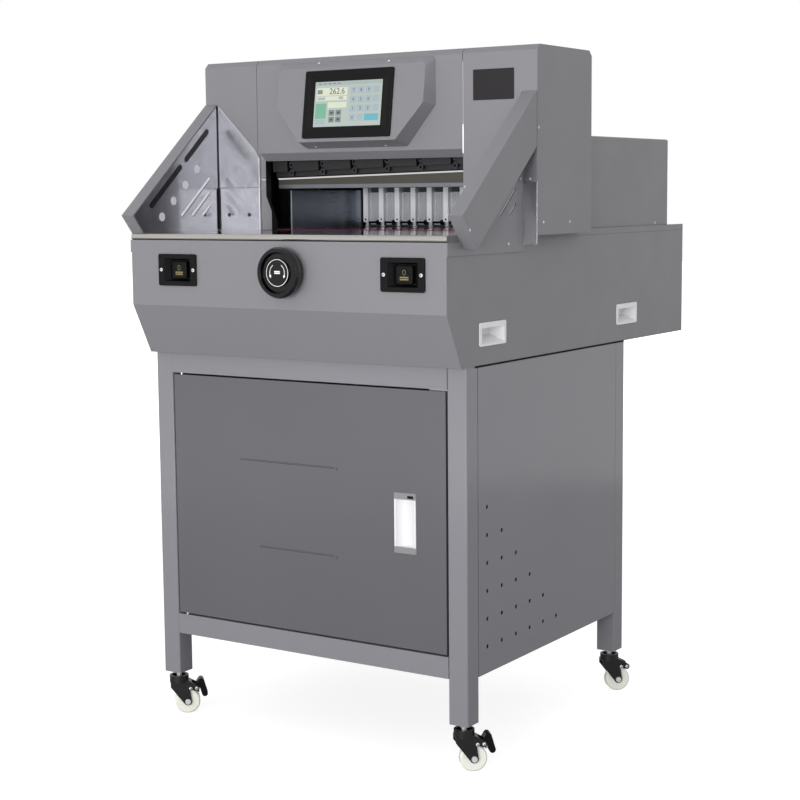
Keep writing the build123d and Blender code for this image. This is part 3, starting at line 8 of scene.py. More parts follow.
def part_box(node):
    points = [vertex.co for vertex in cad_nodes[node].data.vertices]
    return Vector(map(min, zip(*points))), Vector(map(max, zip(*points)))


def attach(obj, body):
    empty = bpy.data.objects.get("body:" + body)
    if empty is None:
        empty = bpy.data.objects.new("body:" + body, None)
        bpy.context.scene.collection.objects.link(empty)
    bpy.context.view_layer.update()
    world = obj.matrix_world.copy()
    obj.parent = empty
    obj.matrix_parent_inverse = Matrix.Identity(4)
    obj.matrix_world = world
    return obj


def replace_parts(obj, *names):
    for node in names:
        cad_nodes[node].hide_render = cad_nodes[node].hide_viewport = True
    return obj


# A programmable paper cutter on a wheeled cabinet stand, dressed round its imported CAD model.
# Metres. X runs to the right, Y to the back and Z up, with the origin on the floor.

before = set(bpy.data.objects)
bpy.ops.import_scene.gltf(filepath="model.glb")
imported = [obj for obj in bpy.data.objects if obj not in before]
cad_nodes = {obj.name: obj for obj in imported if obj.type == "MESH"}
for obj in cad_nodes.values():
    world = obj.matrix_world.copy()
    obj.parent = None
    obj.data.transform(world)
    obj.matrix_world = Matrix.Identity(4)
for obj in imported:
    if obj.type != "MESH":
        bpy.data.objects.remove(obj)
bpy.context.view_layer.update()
scene = bpy.context.scene
scene.view_settings.view_transform = "Standard"

MILLIMETRE = 0.001


# ---------------------------------------------------------------------------------------------------
# Camera, room and light
# ---------------------------------------------------------------------------------------------------

camera_place = Vector((1.8689, -2.9483, 1.0424))
camera_turn = radians(33.107)
camera_pitch = radians(6.990)
camera_roll = radians(-0.525)
camera_lens = 76.55
lamp_aim = Vector((0.0, 0.0, 0.95))


def set_camera():
    """The place and angle from which the photo was taken."""
    ahead = Vector((
        -sin(camera_turn) * cos(camera_pitch),
        cos(camera_turn) * cos(camera_pitch),
        -sin(camera_pitch),
    ))
    level_right = ahead.cross(Vector((0, 0, 1))).normalized()
    level_up = level_right.cross(ahead)
    right = cos(camera_roll) * level_right + sin(camera_roll) * level_up
    up = cos(camera_roll) * level_up - sin(camera_roll) * level_right
    turn = Matrix((right, up, -ahead)).transposed().to_4x4()
    data = bpy.data.cameras.new("photo_camera")
    data.sensor_width = 36.0
    data.lens = camera_lens
    data.clip_start, data.clip_end = 0.05, 60.0
    camera = bpy.data.objects.new("photo_camera", data)
    camera.matrix_world = Matrix.Translation(camera_place) @ turn
    scene.collection.objects.link(camera)
    scene.camera = camera


set_camera()


def fill(tree, socket, value):
    """Links a socket to the output it is given, or sets it to a plain value."""
    if isinstance(value, bpy.types.NodeSocket):
        tree.links.new(value, socket)
    else:
        socket.default_value = value


def add_node(tree, kind, inputs=None, **settings):
    """Adds a node, sets its own settings, and fills its inputs."""
    made = tree.nodes.new(kind)
    for name, value in settings.items():
        setattr(made, name, value)
    for name, value in (inputs or {}).items():
        fill(tree, made.inputs[name], value)
    return made


def colour(hex_value, alpha=1.0):
    """An sRGB hex value as the linear colour that a shader takes."""
    channels = [int(hex_value[i:i + 2], 16) / 255 for i in (1, 3, 5)]
    linear = [c / 12.92 if c <= 0.04045 else ((c + 0.055) / 1.055) ** 2.4 for c in channels]
    return (*linear, alpha)


def soft_light(name, place, width, height, energy):
    """A soft rectangular lamp turned to the middle of the machine's table."""
    data = bpy.data.lights.new(name, "AREA")
    data.shape = "RECTANGLE"
    data.size, data.size_y = width, height
    data.energy = energy
    lamp = bpy.data.objects.new(name, data)
    lamp.location = place
    lamp.rotation_euler = (lamp_aim - lamp.location).to_track_quat("-Z", "Y").to_euler()
    scene.collection.objects.link(lamp)


def light_room():
    """A white studio: a soft dome that the camera sees as plain white, and two lamps in front."""
    world = bpy.data.worlds.new("studio")
    scene.world = world
    world.use_nodes = True
    tree = world.node_tree
    tree.nodes.clear()
    place = add_node(tree, "ShaderNodeTexCoord")
    split = add_node(tree, "ShaderNodeSeparateXYZ", {"Vector": place.outputs["Generated"]})
    # The dome is a little weaker overhead than at the horizon.
    height = add_node(tree, "ShaderNodeMapRange", {
        "Value": split.outputs["Z"], "From Min": 0.1, "From Max": 0.9, "To Min": 0.95, "To Max": 0.82,
    })
    ray = add_node(tree, "ShaderNodeLightPath")
    strength = add_node(tree, "ShaderNodeMath", {
        0: height.outputs["Result"], 1: ray.outputs["Is Camera Ray"],
    }, operation="MAXIMUM")
    glow = add_node(tree, "ShaderNodeBackground", {
        "Color": colour("#ffffff"), "Strength": strength.outputs["Value"],
    })
    add_node(tree, "ShaderNodeOutputWorld", {"Surface": glow.outputs["Background"]})
    soft_light("front_softbox", (0.7, -5.3, 1.1), width=3.0, height=1.1, energy=188.0)
    soft_light("glint_lamp", (2.15, -3.5, 1.28), width=0.1, height=0.1, energy=0.8)


light_room()


# ---------------------------------------------------------------------------------------------------
# Finishes
# ---------------------------------------------------------------------------------------------------

def new_finish(name):
    """An empty material with its tree, its shader and the object's own coordinates."""
    material = bpy.data.materials.new(name)
    material.use_nodes = True
    tree = material.node_tree
    tree.nodes.clear()
    place = add_node(tree, "ShaderNodeTexCoord").outputs["Object"]
    shader = add_node(tree, "ShaderNodeBsdfPrincipled")
    add_node(tree, "ShaderNodeOutputMaterial", {"Surface": shader.outputs["BSDF"]})
    return material, tree, place, shader


def feed(tree, shader, **links):
    """Fills the shader's inputs, named with underscores for spaces."""
    for name, value in links.items():
        fill(tree, shader.inputs[name.replace("_", " ")], value)


# How often the slow patterns repeat in a metre.
panel_cloud = 2.6       # about 385 mm: one side of a panel a shade lighter than the other
hand_smear = 11.0       # about 90 mm: a coat's sheen where hands and cloths have been
metal_tarnish = 9.0     # about 110 mm: the tone of bare metal
sheet_dents = 28.0      # about 36 mm: the hollows of thin sheet
flow_marks = 30.0       # about 33 mm: how plastic ran in its mould
panel_haze = 14.0       # about 70 mm: the uneven lamp behind a screen


def dress(tree, shader, tones, sheen, edge_mm, tint_by, gloss_by, relief_by, relief_mm, relief_strength):
    """What every solid finish shares: two tones, a sheen between two roughnesses, and a relief on soft edges.

    It returns the relief's normal, which the finish links or lays something over.
    """
    tint = add_node(tree, "ShaderNodeMixRGB", {
        "Fac": tint_by, "Color1": colour(tones[0]), "Color2": colour(tones[1]),
    })
    gloss = add_node(tree, "ShaderNodeMapRange", {
        "Value": gloss_by, "From Min": 0.3, "From Max": 0.7, "To Min": sheen[0], "To Max": sheen[1],
    })
    fold = add_node(tree, "ShaderNodeBevel", {"Radius": edge_mm * MILLIMETRE}, samples=4)
    relief = add_node(tree, "ShaderNodeBump", {
        "Strength": relief_strength, "Distance": relief_mm * MILLIMETRE, "Height": relief_by,
        "Normal": fold.outputs["Normal"],
    })
    feed(tree, shader, Base_Color=tint.outputs["Color"], Roughness=gloss.outputs["Result"])
    return relief.outputs["Normal"]


def powder_coat(name, light_hex, dark_hex, peel_mm, peel_height_mm, smooth, rough, edge_mm=1.2):
    """Sprayed powder paint on sheet steel: a faint orange peel, cloudy sheen and rounded folds."""
    material, tree, place, shader = new_finish(name)
    cloud = add_node(tree, "ShaderNodeTexNoise", {
        "Vector": place, "Scale": panel_cloud, "Detail": 3.0, "Roughness": 0.5,
    })
    smear = add_node(tree, "ShaderNodeTexNoise", {
        "Vector": place, "Scale": hand_smear, "Detail": 4.0, "Roughness": 0.6,
    })
    peel = add_node(tree, "ShaderNodeTexNoise", {
        "Vector": place, "Scale": 1 / (peel_mm * MILLIMETRE), "Detail": 1.5, "Roughness": 0.45,
    })
    normal = dress(tree, shader, (light_hex, dark_hex), (smooth, rough), edge_mm,
                   tint_by=cloud.outputs["Fac"], gloss_by=smear.outputs["Fac"], relief_by=peel.outputs["Fac"],
                   relief_mm=peel_height_mm, relief_strength=0.35)
    feed(tree, shader, Normal=normal, IOR=1.48)
    return material


def worked_metal(name, light_hex, dark_hex, grain_mm, smooth, rough, metallic=1.0, wave_mm=0.0):
    """Bare metal with the lines of its brush, wheel or cutter. grain_mm is the lines' size on each axis."""
    scratch_mm, edge_mm = 0.004, 0.4
    material, tree, place, shader = new_finish(name)
    scale = [1 / (g * MILLIMETRE) for g in grain_mm]
    stretch = add_node(tree, "ShaderNodeMapping", {"Vector": place, "Scale": scale})
    lines = add_node(tree, "ShaderNodeTexNoise", {
        "Vector": stretch.outputs["Vector"], "Scale": 1.0, "Detail": 3.0, "Roughness": 0.65,
    })
    tarnish = add_node(tree, "ShaderNodeTexNoise", {
        "Vector": place, "Scale": metal_tarnish, "Detail": 3.0, "Roughness": 0.55,
    })
    both = add_node(tree, "ShaderNodeMixRGB", {
        "Fac": 0.5, "Color1": lines.outputs["Fac"], "Color2": tarnish.outputs["Fac"],
    }).outputs["Color"]
    normal = dress(tree, shader, (light_hex, dark_hex), (smooth, rough), edge_mm, tint_by=both, gloss_by=both,
                   relief_by=lines.outputs["Fac"], relief_mm=scratch_mm, relief_strength=0.5)
    dents = add_node(tree, "ShaderNodeTexNoise", {
        "Vector": place, "Scale": sheet_dents, "Detail": 1.0, "Roughness": 0.4,
    })
    waves = add_node(tree, "ShaderNodeBump", {
        "Strength": 1.0, "Distance": wave_mm * MILLIMETRE, "Height": dents.outputs["Fac"], "Normal": normal,
    })
    feed(tree, shader, Normal=waves.outputs["Normal"], Metallic=metallic)
    return material


def moulded_plastic(name, light_hex, dark_hex, grain_mm, grain_height_mm, smooth, rough, edge_mm=0.5, glow=0.0,
                    specular=0.5):
    """Injection-moulded plastic: an even colour, the tool's fine spark grain and soft edges."""
    material, tree, place, shader = new_finish(name)
    flow = add_node(tree, "ShaderNodeTexNoise", {"Vector": place, "Scale": flow_marks, "Detail": 3.0})
    grain = add_node(tree, "ShaderNodeTexNoise", {
        "Vector": place, "Scale": 1 / (grain_mm * MILLIMETRE), "Detail": 2.0, "Roughness": 0.6,
    })
    normal = dress(tree, shader, (light_hex, dark_hex), (smooth, rough), edge_mm,
                   tint_by=flow.outputs["Fac"], gloss_by=flow.outputs["Fac"], relief_by=grain.outputs["Fac"],
                   relief_mm=grain_height_mm, relief_strength=0.4)
    feed(tree, shader, Normal=normal, Specular_IOR_Level=specular, Subsurface_Weight=glow,
         Subsurface_Scale=4 * MILLIMETRE)
    return material


def lit_screen(name, hex_value, strength):
    """A backlit panel: its own light, under a faint sheen."""
    material, tree, place, shader = new_finish(name)
    haze = add_node(tree, "ShaderNodeTexNoise", {"Vector": place, "Scale": panel_haze, "Detail": 2.0})
    dimmed = [c * 0.86 for c in colour(hex_value)[:3]] + [1.0]
    tint = add_node(tree, "ShaderNodeMixRGB", {
        "Fac": haze.outputs["Fac"], "Color1": colour(hex_value), "Color2": dimmed,
    })
    feed(tree, shader, Base_Color=(0.01, 0.01, 0.01, 1.0), Roughness=0.22, Emission_Color=tint.outputs["Color"],
         Emission_Strength=strength)
    return material


# Coats. After the two tones come the peel's size and height in millimetres and the sheen's two roughnesses.
# Matt powder on bent covers: a quiet grey with a 3 mm orange peel that spreads every highlight.
body_paint = powder_coat("grey_powder_coat", "#757479", "#706f73", 3.0, 0.05, 0.42, 0.5)
# Glossier powder on square tube: a cool grey that mirrors the room over 40 mm waves of the steel below.
stand_paint = powder_coat("stand_powder_coat", "#7a7a7f", "#747479", 40.0, 0.02, 0.1, 0.15, 0.8)
# Gloss coat on the door's flat sheet: one deep panel, a shade darker, with a slow 60 mm ripple.
door_paint = powder_coat("door_gloss_coat", "#59595d", "#545458", 60.0, 0.03, 0.18, 0.24)
# Enamel brushed over raw castings: nearly black, pitted every 1.6 mm.
casting_enamel = powder_coat("casting_enamel", "#2f3035", "#26272b", 1.6, 0.12, 0.4, 0.55, 0.8)
# Grey paint far lighter than the body's: painted light on the front of each cheek beside the dark throat.
cheek_painted_light = powder_coat("cheek_coat_painted_light", "#d0cfd6", "#c6c5cc", 3.0, 0.03, 0.4, 0.5)
# Dipped coat on pressed caster forks: satin black with soft highlights on its bends.
caster_coat = powder_coat("black_caster_coat", "#121113", "#0c0c0e", 1.5, 0.08, 0.28, 0.42, 0.6)

# Metals. After the two tones come the lines' size in millimetres along X, Y and Z and the two roughnesses.
# Real brush and wheel lines are 0.1 to 0.2 mm apart. They are drawn 0.6 to 2 mm apart so that they show.
# Polished stainless sheet: bright, with level lines and slow hollows that bend what it mirrors.
polished_sheet = worked_metal("polished_stainless_sheet", "#c5c5ca", "#bbbbc1", (60.0, 60.0, 0.8), 0.18, 0.26,
                              wave_mm=0.35)
# The same sheet brushed satin: greyer, and its reflections run together.
satin_liner = worked_metal("satin_stainless_liner", "#adadb3", "#a1a1a8", (60.0, 60.0, 0.8), 0.18, 0.26,
                           wave_mm=0.35)
# Polished table plate: warm and nearly a mirror, cloudy over 80 mm.
table_steel = worked_metal("polished_table_steel", "#c5c2bd", "#b8b5b0", (80.0, 80.0, 80.0), 0.06, 0.12)
# Planished side guides: blue grey steel drawn dark as painted shade for the throat they mirror, with level
# streaks.
shaded_guide_steel = worked_metal("planished_guide_steel_shaded", "#70747e", "#5f636c", (60.0, 60.0, 1.5), 0.2, 0.3)
# Ground rods, screw and block: bright, lined across by the wheel.
ground_steel = worked_metal("ground_tool_steel", "#c9cacd", "#b4b5b9", (60.0, 0.6, 1.0), 0.16, 0.3)
# Blade steel drawn near black as painted shade for the dark its face mirrors, with a dull streaked sheen.
shaded_blade_steel = worked_metal("blade_steel_painted_shade", "#19181b", "#131215", (60.0, 0.6, 1.0), 0.4, 0.55, metallic=0.3)
# Socket bolts: dark heads with small sharp glints.
bolt_steel = worked_metal("bright_socket_bolt", "#4a4a4e", "#38383c", (3.0, 3.0, 3.0), 0.1, 0.2)
# Ground foot of the clamp: a satin grey strip along its lower edge, lighter than the clamp as a painted reflection
# of the floor.
clamp_foot_reflection_steel = worked_metal("ground_clamp_foot_reflection", "#777a80", "#6a6d73", (60.0, 1.0, 1.0), 0.3, 0.42, metallic=0.7)
# Bright zinc plating: pale and a little milky, with a 3 mm crystal bloom.
zinc_plate = worked_metal("bright_zinc_plate", "#ebecee", "#d8dadc", (3.0, 3.0, 3.0), 0.22, 0.36, metallic=0.6)
# Die-cast caps of the pull: flat mid grey.
pull_cap_metal = worked_metal("dull_pull_cap", "#8b8b8b", "#7d7d7d", (3.0, 3.0, 3.0), 0.35, 0.5, metallic=0.4)
# Ribbed plates between the gauge's fingers: light and matt, lined upright.
comb_plate = worked_metal("ribbed_comb_plate", "#bcbec4", "#a9abb2", (0.9, 0.9, 40.0), 0.35, 0.5, metallic=0.4)
# Milled aluminium: almost white, with the cutter's upright lines. The same near-white paints the highlights of the
# louvres, the sheet screws and the cut edges.
aluminium_and_glint_white = worked_metal("milled_aluminium_and_glints", "#f6f6f8", "#e8e8ec", (0.9, 0.9, 40.0), 0.3, 0.45,
                               metallic=0.3)
# Olive passivated steel: a dark clamp with a brownish cast and level lines.
clamp_plate = worked_metal("olive_plated_steel", "#413f36", "#38352e", (50.0, 1.2, 1.2), 0.4, 0.55, metallic=0.3)
# Black oxide: warm black that catches only broad light.
oxide_black = worked_metal("black_oxide_steel", "#1b191c", "#121113", (30.0, 2.0, 2.0), 0.4, 0.55, metallic=0.3)

# Plastics and flat blacks. After the two tones come the spark grain's size and height in millimetres, drawn
# 5 to 10 times coarser than the tool's real grain so that it shows, and the two roughnesses.
# Grained black ABS: soft black with a weak, wide highlight.
black_abs = moulded_plastic("black_abs", "#111012", "#0c0b0d", 0.8, 0.03, 0.26, 0.36, specular=0.13)
# Polished black plastic: the knob's sharp highlights.
gloss_black = moulded_plastic("polished_black_plastic", "#060607", "#040405", 2.0, 0.01, 0.05, 0.1, specular=0.4)
# Smoked acrylic: dark grey windows with a smooth face.
smoked_window = moulded_plastic("smoked_light_window", "#202125", "#18191c", 2.0, 0.01, 0.2, 0.28, specular=0.2)
# Near-black on the frame's cheeks: painted shade, flat, so that the throat stays dark.
frame_shade_black = moulded_plastic("frame_painted_shade_black", "#111013", "#0c0b0e", 1.5, 0.04, 0.4, 0.5, specular=0.25)
# Near-black sheet that sends nothing back: painted shade in gaps and hollows and behind windows.
painted_shade_black = moulded_plastic("painted_shade_black_sheet", "#060607", "#040405", 1.0, 0.01, 0.6, 0.7, specular=0.1)
# White ABS: clean off-white grips with a satin face.
white_abs = moulded_plastic("white_abs", "#d9d9db", "#cfcfd1", 0.8, 0.04, 0.3, 0.42)
# White nylon: a warmer white that lets a little light in.
white_nylon = moulded_plastic("white_nylon", "#e4e4dc", "#d8d8ce", 0.8, 0.05, 0.35, 0.5, glow=0.15)
# Red nylon: the cutting stick's deep matt line in the table.
red_nylon = moulded_plastic("red_nylon", "#8c1834", "#7a122b", 1.0, 0.05, 0.6, 0.75, specular=0.1)
# Printed inks: flat white on the knob and pale gold on the buttons.
white_print = moulded_plastic("white_pad_print", "#e9e9ea", "#dededf", 0.5, 0.01, 0.4, 0.5, edge_mm=0.05)
gold_print = moulded_plastic("pale_gold_print", "#7a7147", "#6d643e", 0.5, 0.01, 0.4, 0.5, edge_mm=0.05)
# Anodised plate: warm black, a touch brighter than the screen's frame.
bare_black_plate = moulded_plastic("anodised_black_plate", "#1d1a1d", "#171517", 1.0, 0.01, 0.35, 0.45,
                                   edge_mm=0.1, specular=0.25)
# Plain film discs: cool white spots on the wing.
bare_white_disc = moulded_plastic("white_disc_film", "#dcdbe0", "#d0cfd5", 1.0, 0.01, 0.35, 0.45, edge_mm=0.1)

# Lights. The honed edge glows with a light of its own, a painted highlight for the lamps it sends straight back,
# so that it reads as a thin white line.
glowing_edge_highlight = lit_screen("honed_edge_painted_glow", "#f4f4f4", 0.75)
# The lit display: pale grey green behind its keys.
screen_light = lit_screen("backlit_panel", "#c6d4cb", 0.85)
# What the page shows: pale fields, grey blue keys, one green and one cyan key, and dark figures.
screen_inks = {
    "bar": lit_screen("screen_bar", "#b9c6c6", 0.85),
    "field": lit_screen("screen_field", "#e4ead2", 0.95),
    "key": lit_screen("screen_key", "#b3c4cc", 0.9),
    "green": lit_screen("screen_green", "#7fc0a2", 0.9),
    "cyan": lit_screen("screen_cyan", "#6fbfd2", 0.9),
    "grey": lit_screen("screen_grey", "#8f9a98", 0.8),
    "ink": lit_screen("screen_ink", "#525d60", 0.7),
}

caster_corners = {
    "front_left": (-0.335, -0.394), "front_right": (0.335, -0.394),
    "rear_left": (-0.335, 0.198), "rear_right": (0.335, 0.198),
}
finished_nodes = [
    (stand_paint, "stand_legs stand_rails side_panels back_panel cabinet_floor"),
    (body_paint, "console_base console_front console_shell pillar_cover_left pillar_cover_right head_cover"),
    (body_paint, "screen_pod rear_hood wing_left wing_right"),
    (door_paint, "door_panel"),
    (casting_enamel, "crossbeam drive_motors gauge_body"),
    (frame_shade_black, "frame_cheeks"),
    (table_steel, "front_table rear_table"),
    (polished_sheet, "guard_plates"),
    (shaded_guide_steel, "side_guides"),
    (ground_steel, "gauge_rails knife_block lead_screw"),
    (shaded_blade_steel, "knife"),
    (bolt_steel, "knife_bolts"),
    (oxide_black, "knife_carrier"),
    (clamp_plate, "clamp"),
    (aluminium_and_glint_white, "gauge_fingers"),
    (zinc_plate, "hinge_pins caster_stems"),
    (white_abs, "door_catch side_grips door_handle"),
    (black_abs, "button_housings knob_encoder screen_bezel cut_button_left cut_button_right"),
    (black_abs, "caster_brake_front_left caster_brake_front_right"),
    (gloss_black, "knob"),
    (smoked_window, "light_windows"),
    (red_nylon, "cutting_stick"),
    (screen_light, "screen_glass"),
]
for corner in caster_corners:
    finished_nodes += [(caster_coat, "caster_fork_" + corner), (zinc_plate, "caster_axle_" + corner),
                       (white_nylon, "caster_wheel_" + corner)]

for finish, node_names in finished_nodes:
    for node_name in node_names.split():
        slots = cad_nodes[node_name].material_slots
        for slot in slots:
            slot.material = finish
        if not slots:
            cad_nodes[node_name].data.materials.append(finish)


# ---------------------------------------------------------------------------------------------------
# Ways of making pieces
# ---------------------------------------------------------------------------------------------------

def face_at(origin, right, up):
    """A flat place on the machine: x runs along right, y along up and z straight out of the face."""
    right, up = Vector(right).normalized(), Vector(up).normalized()
    turn = Matrix((right, up, right.cross(up))).transposed().to_4x4()
    return Matrix.Translation(Vector(origin)) @ turn


def moved(place, x, y, z=0.0):
    """The same flat place, shifted along itself."""
    return place @ Matrix.Translation((x, y, z))


def rounded_outline(width, height, corner, steps=4):
    """A rectangle with rounded corners, as points round its middle."""
    points = []
    for step_x, step_y, start in ((1, 1, 0), (-1, 1, 90), (-1, -1, 180), (1, -1, 270)):
        middle_x, middle_y = step_x * (width / 2 - corner), step_y * (height / 2 - corner)
        for step in range(steps + 1):
            turn = radians(start + 90 * step / steps)
            points.append((middle_x + corner * cos(turn), middle_y + corner * sin(turn)))
    return points


def round_outline(radius, steps=40):
    return [(radius * cos(2 * pi * step / steps), radius * sin(2 * pi * step / steps)) for step in range(steps)]


def skin(mesh, place, layers, hollow=False):
    """Adds a closed skin through outlines laid one above another. A hollow one joins its last to its first."""
    rows = [[mesh.verts.new(place @ Vector((x, y, height))) for x, y in outline] for outline, height in layers]
    count = len(rows[0])
    made = []
    for low, high in zip(rows, rows[1:] + rows[:1] if hollow else rows[1:]):
        for step in range(count):
            after = (step + 1) % count
            made.append(mesh.faces.new((low[step], low[after], high[after], high[step])))
    if not hollow:
        made.append(mesh.faces.new(list(reversed(rows[0]))))
        made.append(mesh.faces.new(rows[-1]))
    bmesh.ops.recalc_face_normals(mesh, faces=made)


def slab(mesh, place, outline, low, high):
    """A flat piece of one outline, from one height over its place to another."""
    skin(mesh, place, [(outline, low), (outline, high)])


def ring(mesh, place, outer, inner, height):
    """A flat ring between two outlines."""
    skin(mesh, place, [(outer, 0.0), (outer, height), (inner, height), (inner, 0.0)], hollow=True)


def plate_layers(outline_of, thickness, edge):
    """The layers of a thin plate with its upper edge rounded off; outline_of gives the outline for an inset."""
    return [
        (outline_of(0.0), 0.0),
        (outline_of(0.0), thickness - edge),
        (outline_of(edge * 0.3), thickness - edge * 0.3),
        (outline_of(edge), thickness),
    ]


def piece(name, mesh, body, finish=None):
    """Puts a finished mesh on its body, with its finish."""
    if isinstance(mesh, bmesh.types.BMesh):
        data = bpy.data.meshes.new(name)
        mesh.to_mesh(data)
        mesh.free()
    else:
        data = mesh
        data.name = name
    if finish is not None:
        data.materials.append(finish)
    made = bpy.data.objects.new(name, data)
    scene.collection.objects.link(made)
    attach(made, body)
    return made


def new_tree(name, inputs):
    """An empty Geometry Nodes tree with its named inputs, one geometry coming in and one going out."""
    tree = bpy.data.node_groups.new(name, "GeometryNodeTree")
    tree.interface.new_socket("Places", in_out="INPUT", socket_type="NodeSocketGeometry")
    for input_name, kind in inputs.items():
        tree.interface.new_socket(input_name, in_out="INPUT", socket_type="NodeSocket" + kind)
    tree.interface.new_socket("Pieces", in_out="OUTPUT", socket_type="NodeSocketGeometry")
    return tree, add_node(tree, "NodeGroupInput").outputs


def grow(name, places, tree, settings):
    """Runs a tree on points that may each face a way, and returns its mesh with no modifier left."""
    points = bpy.data.meshes.new(name + "_places")
    points.from_pydata([Vector(point) for point, way in places], [], [])
    facing = points.attributes.new("facing", "FLOAT_VECTOR", "POINT")
    facing.data.foreach_set("vector", [number for point, way in places for number in way])
    carrier = bpy.data.objects.new(name + "_places", points)
    scene.collection.objects.link(carrier)
    modifier = carrier.modifiers.new("grow", "NODES")
    modifier.node_group = tree
    for item in tree.interface.items_tree:
        if item.in_out == "INPUT" and item.name in settings:
            modifier[item.identifier] = settings[item.name]
    evaluated = carrier.evaluated_get(bpy.context.evaluated_depsgraph_get())
    mesh = bpy.data.meshes.new_from_object(evaluated)
    carrier.modifiers.remove(modifier)
    bpy.data.objects.remove(carrier)
    return mesh


def join_finished(tree, parts):
    """Joins parts, each a geometry with its own finish, into one shape."""
    whole = add_node(tree, "GeometryNodeJoinGeometry")
    for geometry, finish in parts:
        coated = add_node(tree, "GeometryNodeSetMaterial", {"Geometry": geometry, "Material": finish})
        tree.links.new(coated.outputs["Geometry"], whole.inputs["Geometry"])
    return whole.outputs["Geometry"]


def set_out(tree, entry, shape, **turn):
    """The shape on every point, made real; turn may give its Rotation."""
    placed = add_node(tree, "GeometryNodeInstanceOnPoints", {"Points": entry["Places"], "Instance": shape, **turn})
    real = add_node(tree, "GeometryNodeRealizeInstances", {"Geometry": placed.outputs["Instances"]})
    return real.outputs["Geometry"]


def screw_tree():
    """Pan-head screws: on each point, turned the way it faces, a domed head with a cross recess."""
    tree, entry = new_tree("pan_head_screws", {
        "Head radius": "Float", "Head height": "Float", "Metal": "Material", "Recess shade": "Material",
    })
    head = add_node(tree, "GeometryNodeMeshUVSphere", {"Segments": 16, "Rings": 8, "Radius": entry["Head radius"]})
    squash = add_node(tree, "ShaderNodeMath", {
        0: entry["Head height"], 1: entry["Head radius"],
    }, operation="DIVIDE")
    shape = add_node(tree, "ShaderNodeCombineXYZ", {"X": 1.0, "Y": 1.0, "Z": squash.outputs["Value"]})
    domed = add_node(tree, "GeometryNodeTransform", {
        "Geometry": head.outputs["Mesh"], "Scale": shape.outputs["Vector"],
    })
    # The recess is a cross of two bars sunk in the dome, as shares of the head's own size, drawn black as painted
    # shade.
    reach, width, deep, lift = (
        add_node(tree, "ShaderNodeMath", {0: entry[size_name], 1: share}, operation="MULTIPLY").outputs["Value"]
        for size_name, share in (("Head radius", 1.15), ("Head radius", 0.26), ("Head height", 0.3),
                                 ("Head height", 0.87))
    )
    cross = add_node(tree, "GeometryNodeJoinGeometry")
    for first, second in ((reach, width), (width, reach)):
        size = add_node(tree, "ShaderNodeCombineXYZ", {"X": first, "Y": second, "Z": deep})
        bar = add_node(tree, "GeometryNodeMeshCube", {"Size": size.outputs["Vector"]})
        tree.links.new(bar.outputs["Mesh"], cross.inputs["Geometry"])
    raised = add_node(tree, "ShaderNodeCombineXYZ", {"Z": lift})
    placed = add_node(tree, "GeometryNodeTransform", {
        "Geometry": cross.outputs["Geometry"], "Translation": raised.outputs["Vector"],
    })
    screw = join_finished(tree, (
        (domed.outputs["Geometry"], entry["Metal"]), (placed.outputs["Geometry"], entry["Recess shade"]),
    ))
    facing = add_node(tree, "GeometryNodeInputNamedAttribute", {"Name": "facing"}, data_type="FLOAT_VECTOR")
    turned = add_node(tree, "FunctionNodeAlignRotationToVector", {
        "Vector": facing.outputs["Attribute"],
    }, axis="Z")
    pieces = set_out(tree, entry, screw, Rotation=turned.outputs["Rotation"])
    add_node(tree, "NodeGroupOutput", {"Pieces": pieces})
    return tree


pan_head = screw_tree()


def block_tree():
    """Blocks: on each point a block of one size, leaning back by one angle."""
    tree, entry = new_tree("blocks", {
        "Width": "Float", "Depth": "Float", "Height": "Float", "Lean": "Float", "Finish": "Material",
    })
    size = add_node(tree, "ShaderNodeCombineXYZ", {"X": entry["Width"], "Y": entry["Depth"], "Z": entry["Height"]})
    block = add_node(tree, "GeometryNodeMeshCube", {"Size": size.outputs["Vector"]})
    lean = add_node(tree, "ShaderNodeCombineXYZ", {"X": entry["Lean"]})
    laid = add_node(tree, "GeometryNodeTransform", {
        "Geometry": block.outputs["Mesh"], "Rotation": lean.outputs["Vector"],
    })
    finished = add_node(tree, "GeometryNodeSetMaterial", {
        "Geometry": set_out(tree, entry, laid.outputs["Geometry"]), "Material": entry["Finish"],
    })
    add_node(tree, "NodeGroupOutput", {"Pieces": finished.outputs["Geometry"]})
    return tree


plain_block = block_tree()


FRONT, BACK, RIGHT, LEFT, UP = (0, -1, 0), (0, 1, 0), (1, 0, 0), (-1, 0, 0), (0, 0, 1)


def screws(name, body, places, radius_mm, height_mm, metal):
    """One set of screws on one body, each at its place and facing its way."""
    piece(name, grow(name, places, pan_head, {
        "Head radius": radius_mm * MILLIMETRE, "Head height": height_mm * MILLIMETRE,
        "Metal": metal, "Recess shade": black_abs,
    }), body)


def blocks(name, body, places, size, finish, lean=0.0):
    """Blocks of one size, each centred on its place, as one piece."""
    piece(name, grow(name, [(place, FRONT) for place in places], plain_block, {
        "Width": size[0], "Depth": size[1], "Height": size[2], "Lean": lean, "Finish": finish,
    }), body)


def bound(node, corner, axis):
    """One side of a CAD node's box: corner 0 is the low one and 1 the high one."""
    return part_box(node)[corner][axis]


# ---------------------------------------------------------------------------------------------------
# Touch screen and its bezel
# ---------------------------------------------------------------------------------------------------

pod_lean = radians(8.1)
screen_up = (0, sin(pod_lean), cos(pod_lean))
screen_middle = Vector((-0.0127, -0.23586, 1.21028))
screen_face = face_at(screen_middle, RIGHT, screen_up)
pane_top = 0.0013
tile_sheet = 0.0002
figure_share = 0.7      # how much of the font's size a figure fills


